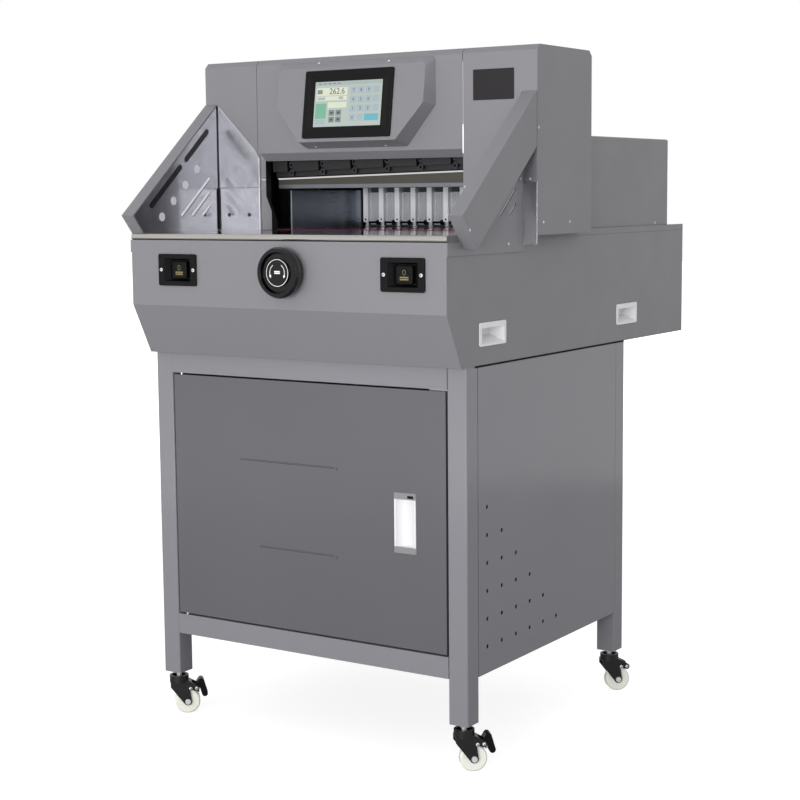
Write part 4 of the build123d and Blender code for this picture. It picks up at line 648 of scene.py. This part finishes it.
def make_bezel():
    """A moulded picture frame whose inner sides slope down to the glass."""
    mesh = bmesh.new()
    skin(mesh, screen_face, [(rounded_outline(width, height, corner), rise) for width, height, corner, rise in (
        (0.1880, 0.1140, 0.0010, -0.0005),
        (0.2050, 0.1310, 0.0040, 0.0),
        (0.2050, 0.1310, 0.0040, 0.0026),
        (0.2034, 0.1294, 0.0034, 0.0037),
        (0.2010, 0.1270, 0.0030, 0.0040),
        (0.1850, 0.1110, 0.0020, 0.0040),
        (0.1640, 0.0950, 0.0010, 0.0018),
        (0.1560, 0.0870, 0.0006, 0.0014),
        (0.1560, 0.0870, 0.0006, -0.0005),
    )], hollow=True)
    slab(mesh, screen_face, rounded_outline(0.188, 0.114, 0.001), -0.0135, -0.0006)
    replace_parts(piece("bezel_frame", mesh, "stand", black_abs), "screen_bezel")
    pane = bmesh.new()
    slab(pane, screen_face, rounded_outline(0.1575, 0.0885, 0.0004), -0.0004, pane_top)
    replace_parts(piece("screen_pane", pane, "stand", screen_light), "screen_glass")


def lay_keys(name, spots, width_mm, height_mm, ink, lift_mm=0.1):
    """Tiles at spots given in millimetres from the middle of the screen."""
    places = [moved(screen_face, x * MILLIMETRE, y * MILLIMETRE, pane_top + lift_mm * MILLIMETRE).translation
              for x, y in spots]
    size = (width_mm * MILLIMETRE, tile_sheet, height_mm * MILLIMETRE)
    blocks(name, "stand", places, size, screen_inks[ink], -pod_lean)


def write_number(name, words, x_mm, y_mm, height_mm, lift_mm=0.25):
    """Figures on the screen, cut as thin solids."""
    curve = bpy.data.curves.new(name, "FONT")
    curve.body = words
    curve.size = height_mm * MILLIMETRE / figure_share
    curve.extrude = 0.03 * MILLIMETRE
    curve.align_x, curve.align_y = "CENTER", "CENTER"
    curve.resolution_u = 3
    holder = bpy.data.objects.new(name + "_curve", curve)
    scene.collection.objects.link(holder)
    bpy.context.view_layer.update()
    mesh = bpy.data.meshes.new_from_object(holder.evaluated_get(bpy.context.evaluated_depsgraph_get()))
    bpy.data.objects.remove(holder)
    mesh.transform(moved(screen_face, x_mm * MILLIMETRE, y_mm * MILLIMETRE, pane_top + lift_mm * MILLIMETRE))
    mesh.materials.clear()
    piece(name, mesh, "stand", screen_inks["ink"])


def make_screen_page():
    """The cutting page: a title bar, the set length, its fields, arrow keys and a number pad."""
    lay_keys("page_title_bar", [(0, 39.5)], 154, 7, "bar")
    lay_keys("page_title_marks", [(-66 + 11 * step, 39.5) for step in range(5)], 7, 2.2, "grey", 0.25)
    lay_keys("page_length_field", [(-38, 24)], 72, 15, "field")
    lay_keys("page_length_name", [(-66, 24)], 12, 8, "grey", 0.2)
    write_number("page_length", "262.6", -26, 24, 11.5)
    lay_keys("page_step_field", [(-38, 11)], 72, 8, "field")
    lay_keys("page_step_name", [(-62, 11)], 18, 5, "bar", 0.2)
    write_number("page_step", "000", -16, 11, 5)
    lay_keys("page_green_box", [(-62, -13)], 25, 29, "green")
    lay_keys("page_program_box", [(-62, -34)], 25, 10, "key")
    lay_keys("page_name_field", [(-24, -2)], 44, 11, "field")
    arrows = [(-36 + 16 * column, -17 - 13 * row) for column in range(2) for row in range(2)]
    lay_keys("page_arrow_keys", arrows, 13, 11, "grey")
    lay_keys("page_arrow_marks", arrows, 6, 4, "ink", 0.2)
    pad = [(12.5 + 17.5 * column, 25 - 17.5 * row) for column in range(4) for row in range(4)]
    # The two places at the right end of the last row go to the enter key.
    lay_keys("page_pad_keys", [spot for spot in pad if spot not in (pad[11], pad[15])], 14, 13, "key")
    lay_keys("page_enter_key", [(56.5, -27.5)], 32, 13, "cyan")
    for spot, figure in zip([pad[4 * column + row] for row in range(3) for column in range(3)], "789456123"):
        write_number("page_figure_" + figure, figure, *spot, 6)
    write_number("page_figure_0", "0", *pad[3], 6)


make_bezel()
make_screen_page()


# ---------------------------------------------------------------------------------------------------
# Console: knob print, button marks and screws
# ---------------------------------------------------------------------------------------------------

controls_height = 0.899
knob_middle_x = 0.014
knob_cap_y = bound("knob", 0, 1) + 0.002
print_height = 0.0002
arrow_radius = 0.0165
arrow_steps = 8
arrow_start, arrow_pitch, arrow_tip = 38, 9, 112    # degrees from the top of the cap


def make_knob_print():
    """A thin white ring on the knob's cap, with a turning arrow each way round two plain bars."""
    cap = face_at((knob_middle_x, knob_cap_y, controls_height), RIGHT, UP)
    mesh = bmesh.new()
    ring(mesh, cap, round_outline(0.0245, 64), round_outline(0.0236, 64), print_height)
    for side in (-1, 1):
        for step in range(arrow_steps):
            turn = radians(90 + side * (arrow_start + arrow_pitch * step))
            spot = moved(cap, arrow_radius * cos(turn), arrow_radius * sin(turn)) @ Matrix.Rotation(turn, 4, "Z")
            width = 0.0011 + 0.0004 * (step == arrow_steps - 1)
            slab(mesh, spot, rounded_outline(width, 0.0028, 0.0003, 1), 0.0, print_height)
        turn = radians(90 + side * arrow_tip)
        tip = moved(cap, arrow_radius * cos(turn), arrow_radius * sin(turn)) @ Matrix.Rotation(turn, 4, "Z")
        arrow = [(0.0026, -0.0018 * side), (-0.0026, -0.0018 * side), (0.0, 0.0034 * side)]
        slab(mesh, tip, arrow, 0.0, print_height)
    for rise in (0.0024, -0.0006):
        slab(mesh, moved(cap, 0.0, rise), rounded_outline(0.0125, 0.0022, 0.0004, 1), 0.0, print_height)
    piece("knob_print", mesh, "knob", white_print)


def button_middle(side):
    """The middle of one cutting button across the machine."""
    return (bound("cut_button_" + side, 0, 0) + bound("cut_button_" + side, 1, 0)) / 2


def make_button_marks():
    """A pale gold press mark on each cutting button: a ring over two bars."""
    for side in ("left", "right"):
        node = "cut_button_" + side
        front = face_at((button_middle(side), bound(node, 0, 1), controls_height), RIGHT, UP)
        mesh = bmesh.new()
        ring(mesh, moved(front, 0.0, 0.004), rounded_outline(0.0064, 0.0094, 0.003),
             rounded_outline(0.0048, 0.0078, 0.0022), print_height)
        for rise in (-0.0045, -0.0082):
            slab(mesh, moved(front, 0.0, rise), rounded_outline(0.018, 0.0024, 0.0003, 1), 0.0, print_height)
        piece("press_mark_" + side, mesh, node, gold_print)


def make_console_screws():
    """Two pan-head screws in each button housing's bezel."""
    bezel_y, screw_reach = bound("button_housings", 0, 1), 0.0387
    places = [((button_middle(side) + way * screw_reach, bezel_y, controls_height), FRONT)
              for side in ("left", "right") for way in (-1, 1)]
    screws("housing_screws", "stand", places, 3.4, 1.3, white_abs)


make_knob_print()
make_button_marks()
make_console_screws()


# ---------------------------------------------------------------------------------------------------
# Head: plates, discs and screws
# ---------------------------------------------------------------------------------------------------

head_front_y = bound("pillar_cover_right", 0, 1)
table_top = 0.9675
wing_slant = radians(40.0)
along_slant = Vector((0, cos(wing_slant), sin(wing_slant)))
over_slant = (0, -sin(wing_slant), cos(wing_slant))
louvre_foot = 0.998
liner_face_x = 0.3537
liner_back_x = 0.3549
seam_face_x = 0.3538
kick_front_y = -0.2112
trim_sheet = 0.0006
cover_side_x, wing_side_x, hood_side_x = 0.384, 0.357, 0.350


def make_bare_plate():
    """A plain dark plate high on the right pillar."""
    spot = face_at((0.293, head_front_y, 1.2355), RIGHT, UP)
    mesh = bmesh.new()
    skin(mesh, spot, plate_layers(
        lambda inset: rounded_outline(0.0865 - 2 * inset, 0.056 - 2 * inset, 0.0016), 0.0006, 0.0003))
    piece("pillar_plate", mesh, "stand", bare_black_plate)


def make_wing_liners():
    """The polished sheet inside each wing, round its kick plate."""
    mesh = bmesh.new()
    corners = [(-0.4695, 1.0012), (-0.4425, table_top), (-0.3368, table_top), (-0.3368, 1.0502),
               (-0.2115, 1.0502), (-0.2115, 1.2175)]
    for side in (-1, 1):
        spot = face_at((side * liner_back_x, 0, 0), (0, -side, 0), UP)
        slab(mesh, spot, [(-side * y, z) for y, z in corners], 0.0, 0.0012)
    piece("wing_liners", mesh, "stand", satin_liner)


def make_louvres():
    """Three pressed louvres along the slant of each wing's liner and kick plate, drawn in near-white metal as a
    painted highlight, each over a black strip of painted shade for its gap.
    """
    mesh, shade = bmesh.new(), bmesh.new()
    for side in (-1, 1):
        for top in (1.0730, 1.0457, 1.0184):
            rise = top - louvre_foot
            length = rise / sin(wing_slant)
            back = -0.240 - rise / 2 / (sin(wing_slant) / cos(wing_slant))
            middle = (side * seam_face_x, back, (top + louvre_foot) / 2)
            spot = face_at(middle, along_slant * -side, over_slant)
            skin(mesh, spot, [
                (rounded_outline(length, 0.0046, 0.0022), -0.0006),
                (rounded_outline(length, 0.0046, 0.0022), 0.0003),
                (rounded_outline(length - 0.0012, 0.0034, 0.0016), 0.0013),
                (rounded_outline(length - 0.0026, 0.0014, 0.0006), 0.0017),
            ])
            below = moved(spot, 0.0, -0.0032, 0.0001)
            slab(shade, below, rounded_outline(length - 0.001, 0.0016, 0.0007), 0.0, 0.0004)
    piece("louvres", mesh, "stand", aluminium_and_glint_white)
    piece("louvre_gap_shade", shade, "stand", painted_shade_black)


def make_seam_shadows():
    """A black strip of painted shadow in the gap between each wing's liner and the pillar's plates, wider beside
    the kick plate.
    """
    mesh = bmesh.new()
    for side in (-1, 1):
        for low, high, width in ((table_top, 1.0515, 0.0062), (1.0515, 1.2185, 0.0026)):
            spot = face_at((side * seam_face_x, -0.2113 - width / 2, (low + high) / 2), (0, -side, 0), UP)
            slab(mesh, spot, rounded_outline(width, high - low, 0.0004, 1), -0.0004, 0.0004)
    piece("corner_seam_shadows", mesh, "stand", painted_shade_black)


def make_light_windows():
    """Two long smoked windows along the slant of each wing's inner face."""
    mesh = bmesh.new()
    for side in (-1, 1):
        for y, z, length in ((-0.4228, 1.0162, 0.1262), (-0.3154, 1.1063, 0.0972)):
            middle = Vector((side * liner_face_x, y, z)) + along_slant * length / 2
            spot = face_at(middle, along_slant * -side, over_slant)
            skin(mesh, spot, plate_layers(
                lambda inset: rounded_outline(length - 2 * inset, 0.0115 - 2 * inset, 0.0056 - inset, 6),
                0.0005, 0.0003))
    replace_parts(piece("light_strips", mesh, "stand", smoked_window), "light_windows")


def make_wing_discs():
    """Four plain discs down the left wing's inner face."""
    mesh = bmesh.new()
    for y, z in ((-0.279, 1.0905), (-0.3155, 1.059), (-0.353, 1.0278), (-0.3885, 0.997)):
        spot = face_at((-liner_face_x, y, z), BACK, UP)
        skin(mesh, spot, [
            (round_outline(0.0085), 0.0), (round_outline(0.0085), 0.0004),
            (round_outline(0.0082), 0.0006), (round_outline(0.0066), 0.0005),
        ])
    piece("wing_discs", mesh, "stand", bare_white_disc)


def make_plate_trim():
    """The kick plates' screws, and thin near-white strips painted as highlights on the cut edges of the corner
    plates and of the right pillar's cover.
    """
    places = [((side * x, -0.2110, 0.9982), FRONT) for side in (-1, 1) for x in (0.3281, 0.2769)]
    places += [((side * 0.3540, -0.2548, 0.9989), (-side, 0, 0)) for side in (-1, 1)]
    screws("kick_screws", "stand", places, 3.6, 1.0, oxide_black)
    for name, x, y, low, high, width in (
        ("kick_edge", -0.2490, kick_front_y, table_top, 1.0525, 0.0022),
        ("corner_edge", -0.2486, kick_front_y, 1.0530, 1.1110, 0.0012),
        ("pillar_edge_foot", 0.2280, -0.2092, 1.1120, 1.1650, 0.0024),
        ("pillar_edge", 0.2280, -0.2092, 1.1650, 1.2800, 0.0005),
    ):
        size = (width, trim_sheet, high - low)
        blocks(name, "stand", [(x, y, (low + high) / 2)], size, aluminium_and_glint_white)


def make_sheet_screws():
    """The screws that hold the covers, the hood, the pod and the wings, their near-white heads painted glints. The
    ones at the sides lie flush.
    """
    flush = [((side * x, y, z), way) for side, way in ((-1, LEFT), (1, RIGHT)) for x, y, z in (
        (cover_side_x, -0.1847, 0.9845), (cover_side_x, -0.0806, 0.9834), (cover_side_x, -0.2030, 1.1555),
        (cover_side_x, -0.4484, 0.9762), (wing_side_x, -0.2665, 0.9471), (wing_side_x, -0.2213, 1.0631),
        (hood_side_x, 0.3737, 0.9723),
    )]
    screws("side_screws", "stand", flush, 2.4, 0.2, aluminium_and_glint_white)
    places = [((side * 0.3688, head_front_y, 1.0631), FRONT) for side in (-1, 1)]
    pod_top, pod_foot = (0, -0.565, 0.825), (0, -0.309, -0.951)
    places += [((-0.0974, -0.2105, 1.2920), pod_top), ((0.0688, -0.2157, 1.2884), pod_top)]
    places += [((-0.1022, -0.2187, 1.1301), pod_foot), ((0.0607, -0.2167, 1.1295), pod_foot)]
    screws("cover_screws", "stand", places, 2.3, 0.9, aluminium_and_glint_white)


make_wing_liners()
make_louvres()
make_seam_shadows()
make_light_windows()
make_bare_plate()
make_wing_discs()
make_sheet_screws()
make_plate_trim()


# ---------------------------------------------------------------------------------------------------
# Throat: the gauge's comb, the knife's honed edge and the painted shade behind the guide windows
# ---------------------------------------------------------------------------------------------------

finger_count = 12
bar_width = 0.012
neck_height = 0.010
neck_radius = 0.0022
comb_top = 1.0512


def comb_tree():
    """The gauge's fingers: on each point a bar that stands on a waisted neck, with a dark screw over the neck."""
    tree, entry = new_tree("comb_fingers", {
        "Bar width": "Float", "Bar depth": "Float", "Bar height": "Float", "Neck height": "Float",
        "Waist": "Float", "Metal": "Material", "Screw": "Material",
    })
    half_neck = add_node(tree, "ShaderNodeMath", {0: entry["Neck height"], 1: 2.0}, operation="DIVIDE")
    half_bar = add_node(tree, "ShaderNodeMath", {0: entry["Bar width"], 1: 2.0}, operation="DIVIDE")
    bright = add_node(tree, "GeometryNodeJoinGeometry")
    for low, high, lift in (("wide", "waist", 0.0), ("waist", "wide", 0.5)):
        radius = {"wide": half_bar.outputs["Value"], "waist": entry["Waist"]}
        cone = add_node(tree, "GeometryNodeMeshCone", {
            "Vertices": 20, "Radius Bottom": radius[low], "Radius Top": radius[high],
            "Depth": half_neck.outputs["Value"],
        })
        rise = add_node(tree, "ShaderNodeMath", {0: entry["Neck height"], 1: lift}, operation="MULTIPLY")
        shift = add_node(tree, "ShaderNodeCombineXYZ", {"Z": rise.outputs["Value"]})
        part = add_node(tree, "GeometryNodeTransform", {
            "Geometry": cone.outputs["Mesh"], "Translation": shift.outputs["Vector"],
        })
        tree.links.new(part.outputs["Geometry"], bright.inputs["Geometry"])
    size = add_node(tree, "ShaderNodeCombineXYZ", {
        "X": entry["Bar width"], "Y": entry["Bar depth"], "Z": entry["Bar height"],
    })
    bar = add_node(tree, "GeometryNodeMeshCube", {"Size": size.outputs["Vector"]})
    half_height = add_node(tree, "ShaderNodeMath", {0: entry["Bar height"], 1: 2.0}, operation="DIVIDE")
    bar_rise = add_node(tree, "ShaderNodeMath", {0: half_height.outputs["Value"], 1: entry["Neck height"]})
    bar_shift = add_node(tree, "ShaderNodeCombineXYZ", {"Z": bar_rise.outputs["Value"]})
    stood = add_node(tree, "GeometryNodeTransform", {
        "Geometry": bar.outputs["Mesh"], "Translation": bar_shift.outputs["Vector"],
    })
    tree.links.new(stood.outputs["Geometry"], bright.inputs["Geometry"])
    head = add_node(tree, "GeometryNodeMeshUVSphere", {"Segments": 12, "Rings": 6, "Radius": entry["Waist"]})
    reach = add_node(tree, "ShaderNodeMath", {0: entry["Bar depth"], 1: -0.5}, operation="MULTIPLY")
    over = add_node(tree, "ShaderNodeMath", {0: entry["Neck height"], 1: 1.5}, operation="MULTIPLY")
    spot = add_node(tree, "ShaderNodeCombineXYZ", {"Y": reach.outputs["Value"], "Z": over.outputs["Value"]})
    screw = add_node(tree, "GeometryNodeTransform", {
        "Geometry": head.outputs["Mesh"], "Translation": spot.outputs["Vector"], "Scale": (1.0, 0.2, 1.0),
    })
    finger = join_finished(tree, (
        (bright.outputs["Geometry"], entry["Metal"]), (screw.outputs["Geometry"], entry["Screw"]),
    ))
    add_node(tree, "NodeGroupOutput", {"Pieces": set_out(tree, entry, finger)})
    return tree


def make_comb():
    """The bright fingers of the back gauge, the ribbed plates between them and the setting rods, drawn in unlit
    black as painted shade at the plates' feet.
    """
    low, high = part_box("gauge_fingers")
    depth = high.y - low.y
    pitch = (high.x - low.x - bar_width) / (finger_count - 1)
    first_x = low.x + bar_width / 2
    fingers = [((first_x + step * pitch, low.y + depth / 2, low.z), FRONT) for step in range(finger_count)]
    mesh = grow("comb_fingers", fingers, comb_tree(), {
        "Bar width": bar_width, "Bar depth": depth, "Bar height": comb_top - low.z - neck_height,
        "Neck height": neck_height, "Waist": neck_radius, "Metal": aluminium_and_glint_white, "Screw": black_abs,
    })
    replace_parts(piece("comb_fingers", mesh, "back_gauge"), "gauge_fingers")
    gap = pitch - bar_width
    middles = [first_x + (step + 0.5) * pitch for step in range(finger_count - 1)]
    plate_depth, plate_height = 0.003, high.z - low.z - 0.004
    plate_z = high.z - plate_height / 2
    plates = [(x, high.y - plate_depth / 2, plate_z) for x in middles]
    blocks("comb_plates", "back_gauge", plates, (gap, plate_depth, plate_height), comb_plate)
    rib_width, rib_depth, rib_y = 0.0028, 0.0014, high.y - 0.0036
    ribs = [(x + shift * gap, rib_y, plate_z) for x in middles for shift in (-0.32, -0.12, 0.1, 0.3)]
    blocks("comb_ribs", "back_gauge", ribs, (rib_width, rib_depth, plate_height - 0.008),
           comb_plate)
    rods = bmesh.new()
    rod_z, rod_y = low.z + 0.0085, low.y + 0.005
    for x in middles:
        # Each rod crosses one gap, with a thick collar before its blunt tip.
        rod = face_at((x - gap / 2, rod_y, rod_z), BACK, UP)
        skin(rods, rod, [(round_outline(radius, 12), reach * gap) for radius, reach in (
            (0.0023, 0.0), (0.0023, 0.58), (0.0055, 0.74), (0.0053, 0.86), (0.0028, 0.97), (0.0014, 1.0))])
    piece("shaded_comb_rods", rods, "back_gauge", painted_shade_black)


def make_knife_edge():
    """The honed bevel along the knife's lower edge, which leans with the knife and glows as a painted highlight.
    """
    lean, bevel_rise, bevel_depth, honed, below_pin = radians(1.33), 0.005, 0.008, 0.0052, 0.112
    along = Vector((cos(lean), 0, sin(lean)))
    over = Vector((-sin(lean), 0, cos(lean)))
    pin = Vector((-0.232, -0.163, 1.18036))
    left, right = -0.0118, 0.4568
    up_bevel = (over * bevel_rise + Vector((0, -bevel_depth, 0))).normalized()
    tip = pin + along * (left + right) / 2 - over * below_pin + Vector((0, bevel_depth, 0))
    spot = face_at(tip + up_bevel * honed / 2, along, up_bevel)
    mesh = bmesh.new()
    slab(mesh, spot, rounded_outline(right - left, honed, 0.0002, 1), 0.0, 0.00015)
    piece("knife_edge", mesh, "knife_carrier", glowing_edge_highlight)


def make_window_shade_backs():
    """Black sheets of painted shade outside the cheeks, so that the guide windows look into the dark."""
    low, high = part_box("frame_cheeks")
    mesh = bmesh.new()
    for x in (low.x - 0.002, high.x + 0.002):
        spot = face_at((x, (low.y + high.y) / 2, (low.z + high.z) / 2), BACK, UP)
        outline = rounded_outline(high.y - low.y - 0.01, high.z - low.z - 0.01, 0.002, 1)
        slab(mesh, spot, outline, -0.0005, 0.0005)
    piece("window_shade_backs", mesh, "stand", painted_shade_black)


def make_throat_trim():
    """The cheeks' fronts in painted light and their cut marks glowing as painted highlights, the guides' posts and
    their edges as painted highlights, black strips of painted shadow in the console's gaps, painted table edges
    and the clamp's foot with its painted reflection.
    """
    front = bmesh.new()
    corners = [(-0.2065, table_top), (-0.1760, table_top), (-0.1760, 1.0050), (-0.1930, 1.0350),
               (-0.1930, 1.1250), (-0.2065, 1.1250)]
    for side, face_x in ((-1, -0.2460), (1, 0.2290)):
        spot = face_at((face_x, 0, 0), (0, -side, 0), UP)
        slab(front, spot, [(-side * y, z) for y, z in corners], 0.0, 0.0003)
    piece("cheek_fronts", front, "stand", cheek_painted_light)
    for name, slot_name, finish, left_x, right_x, y, z, size in (
        ("cheek_noses", "body_paint", stand_paint, -0.2530, 0.2360, -0.2073, 1.0460,
         (0.0138, trim_sheet, 0.1570)),
        # Cut marks that glow: painted highlights along the knife's line.
        ("glowing_cut_marks", "bright_steel", glowing_edge_highlight, -0.2457, 0.2287, -0.1998, 1.0680,
         (0.0008, 0.0125, 0.0020)),
        ("guide_posts", "polished_steel", shaded_guide_steel, -0.2543, 0.2373, -0.1103, 1.0065,
         (0.0155, trim_sheet, 0.0785)),
        # Thin light strips: painted highlights along the guides' front edges.
        ("guide_edge_highlights", "aluminium", comb_plate, -0.2445, 0.2275, -0.1104, 1.0065,
         (0.0016, trim_sheet, 0.0785)),
        ("table_sides", "body_paint", body_paint, -0.3552, 0.3552, 0.1275, 0.9610,
         (trim_sheet, 0.7550, 0.0122)),
        # Black strips: painted shadow in the gap under the console's sides.
        ("console_gap_shadows", "black_plastic", painted_shade_black, -0.3553, 0.3553, -0.0850, 0.7343,
         (0.0008, 0.6000, 0.0034)),
    ):
        blocks(name, "stand", [(left_x, y, z), (right_x, y, z)], size, finish)
    blocks("clamp_foot", "clamp", [(-0.0085, -0.1523, 1.0543)], (0.4710, 0.0008, 0.0075),
           clamp_foot_reflection_steel)


make_comb()
make_knife_edge()
make_window_shade_backs()
make_throat_trim()


# ---------------------------------------------------------------------------------------------------
# Stand: the door's pressed lines, the pull's end caps and the casters' rivets
# ---------------------------------------------------------------------------------------------------

door_front_y = bound("door_panel", 0, 1)


def make_door_lines():
    """Two faint raised lines where stiffeners are welded behind the sheet, each ending in a small dot."""
    mesh = bmesh.new()
    for left_mm, right_mm, height_mm in ((-151, 69, 536), (-107, 67, 370)):
        length = (right_mm - left_mm) * MILLIMETRE
        middle = (left_mm + right_mm) / 2 * MILLIMETRE
        spot = face_at((middle, door_front_y + 0.00002, height_mm * MILLIMETRE), RIGHT, UP)
        skin(mesh, spot, [
            (rounded_outline(length, 0.0032, 0.0015), 0.0),
            (rounded_outline(length - 0.002, 0.0016, 0.0007), 0.00018),
            (rounded_outline(length - 0.003, 0.0006, 0.0002), 0.00022),
        ])
        dot = moved(spot, length / 2 + 0.006, -0.002)
        skin(mesh, dot, [(round_outline(0.0026, 16), 0.0), (round_outline(0.0014, 16), 0.0003),
                         (round_outline(0.0006, 16), 0.00035)])
    piece("door_lines", mesh, "door", door_paint)


def make_pull_caps():
    """Grey end caps above and below the pull's white channel, the upper one with a small dark slot."""
    low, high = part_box("door_handle")
    middle_x = (low.x + high.x) / 2
    caps, slot = bmesh.new(), bmesh.new()
    for z in (low.z + 0.0059, high.z - 0.0059):
        spot = face_at((middle_x, low.y - 0.00005, z), RIGHT, UP)
        skin(caps, spot, plate_layers(
            lambda inset: rounded_outline(0.0462 - 2 * inset, 0.0118 - 2 * inset, 0.0016), 0.0009, 0.0005))
    upper = face_at((middle_x + 0.0125, low.y - 0.00095, high.z - 0.0066), RIGHT, UP)
    slab(slot, upper, rounded_outline(0.013, 0.005, 0.001, 2), 0.0, 0.0002)
    piece("pull_caps", caps, "door", pull_cap_metal)
    piece("pull_slot", slot, "door", black_abs)


def make_caster_rivets():
    """Bright domed rivets on both cheeks of each caster's fork."""
    turn, rivet_height = radians(42.0), 0.052
    ahead, across = Vector((cos(turn), sin(turn), 0)), Vector((sin(turn), -cos(turn), 0))
    for place, (x, y) in caster_corners.items():
        swivel = Vector((x, y, rivet_height))
        places = [(swivel + ahead * reach + across * side * 0.0150, tuple(across * side))
                  for reach in (0.022, 0.034) for side in (-1, 1)]
        screws("rivets_" + place, "caster_" + place, places, 3.4, 1.8, zinc_plate)


make_door_lines()
make_pull_caps()
make_caster_rivets()


# ---------------------------------------------------------------------------------------------------
# Floor
# ---------------------------------------------------------------------------------------------------

def lay_floor():
    """A white floor that glows a little, so that it meets the white backdrop without a horizon."""
    material, tree, place, shader = new_finish("white_studio_floor")
    # It is darker up to about 3 m away, so that the glossy sides show a soft edge where the light floor begins.
    distance = add_node(tree, "ShaderNodeVectorMath", {0: place}, operation="LENGTH")
    far = add_node(tree, "ShaderNodeMapRange", {
        "Value": distance.outputs["Value"], "From Min": 2.75, "From Max": 3.1, "To Min": 0.0, "To Max": 1.0,
    })
    tint = add_node(tree, "ShaderNodeMixRGB", {
        "Fac": far.outputs["Result"], "Color1": colour("#b4b4b4"), "Color2": colour("#fafafa"),
    })
    # Only the camera sees the glow, so it lights nothing.
    ray = add_node(tree, "ShaderNodeLightPath")
    glow = add_node(tree, "ShaderNodeMath", {0: ray.outputs["Is Camera Ray"], 1: 0.75}, operation="MULTIPLY")
    feed(tree, shader, Base_Color=tint.outputs["Color"], Roughness=0.9, Specular_IOR_Level=0.1,
         Emission_Color=colour("#ffffff"), Emission_Strength=glow.outputs["Value"])
    mesh = bpy.data.meshes.new("floor")
    reach = 20.0
    corners = [(-reach, -reach, 0), (reach, -reach, 0), (reach, reach, 0), (-reach, reach, 0)]
    mesh.from_pydata(corners, [], [(0, 1, 2, 3)])
    mesh.materials.append(material)
    floor = bpy.data.objects.new("floor", mesh)
    scene.collection.objects.link(floor)


lay_floor()
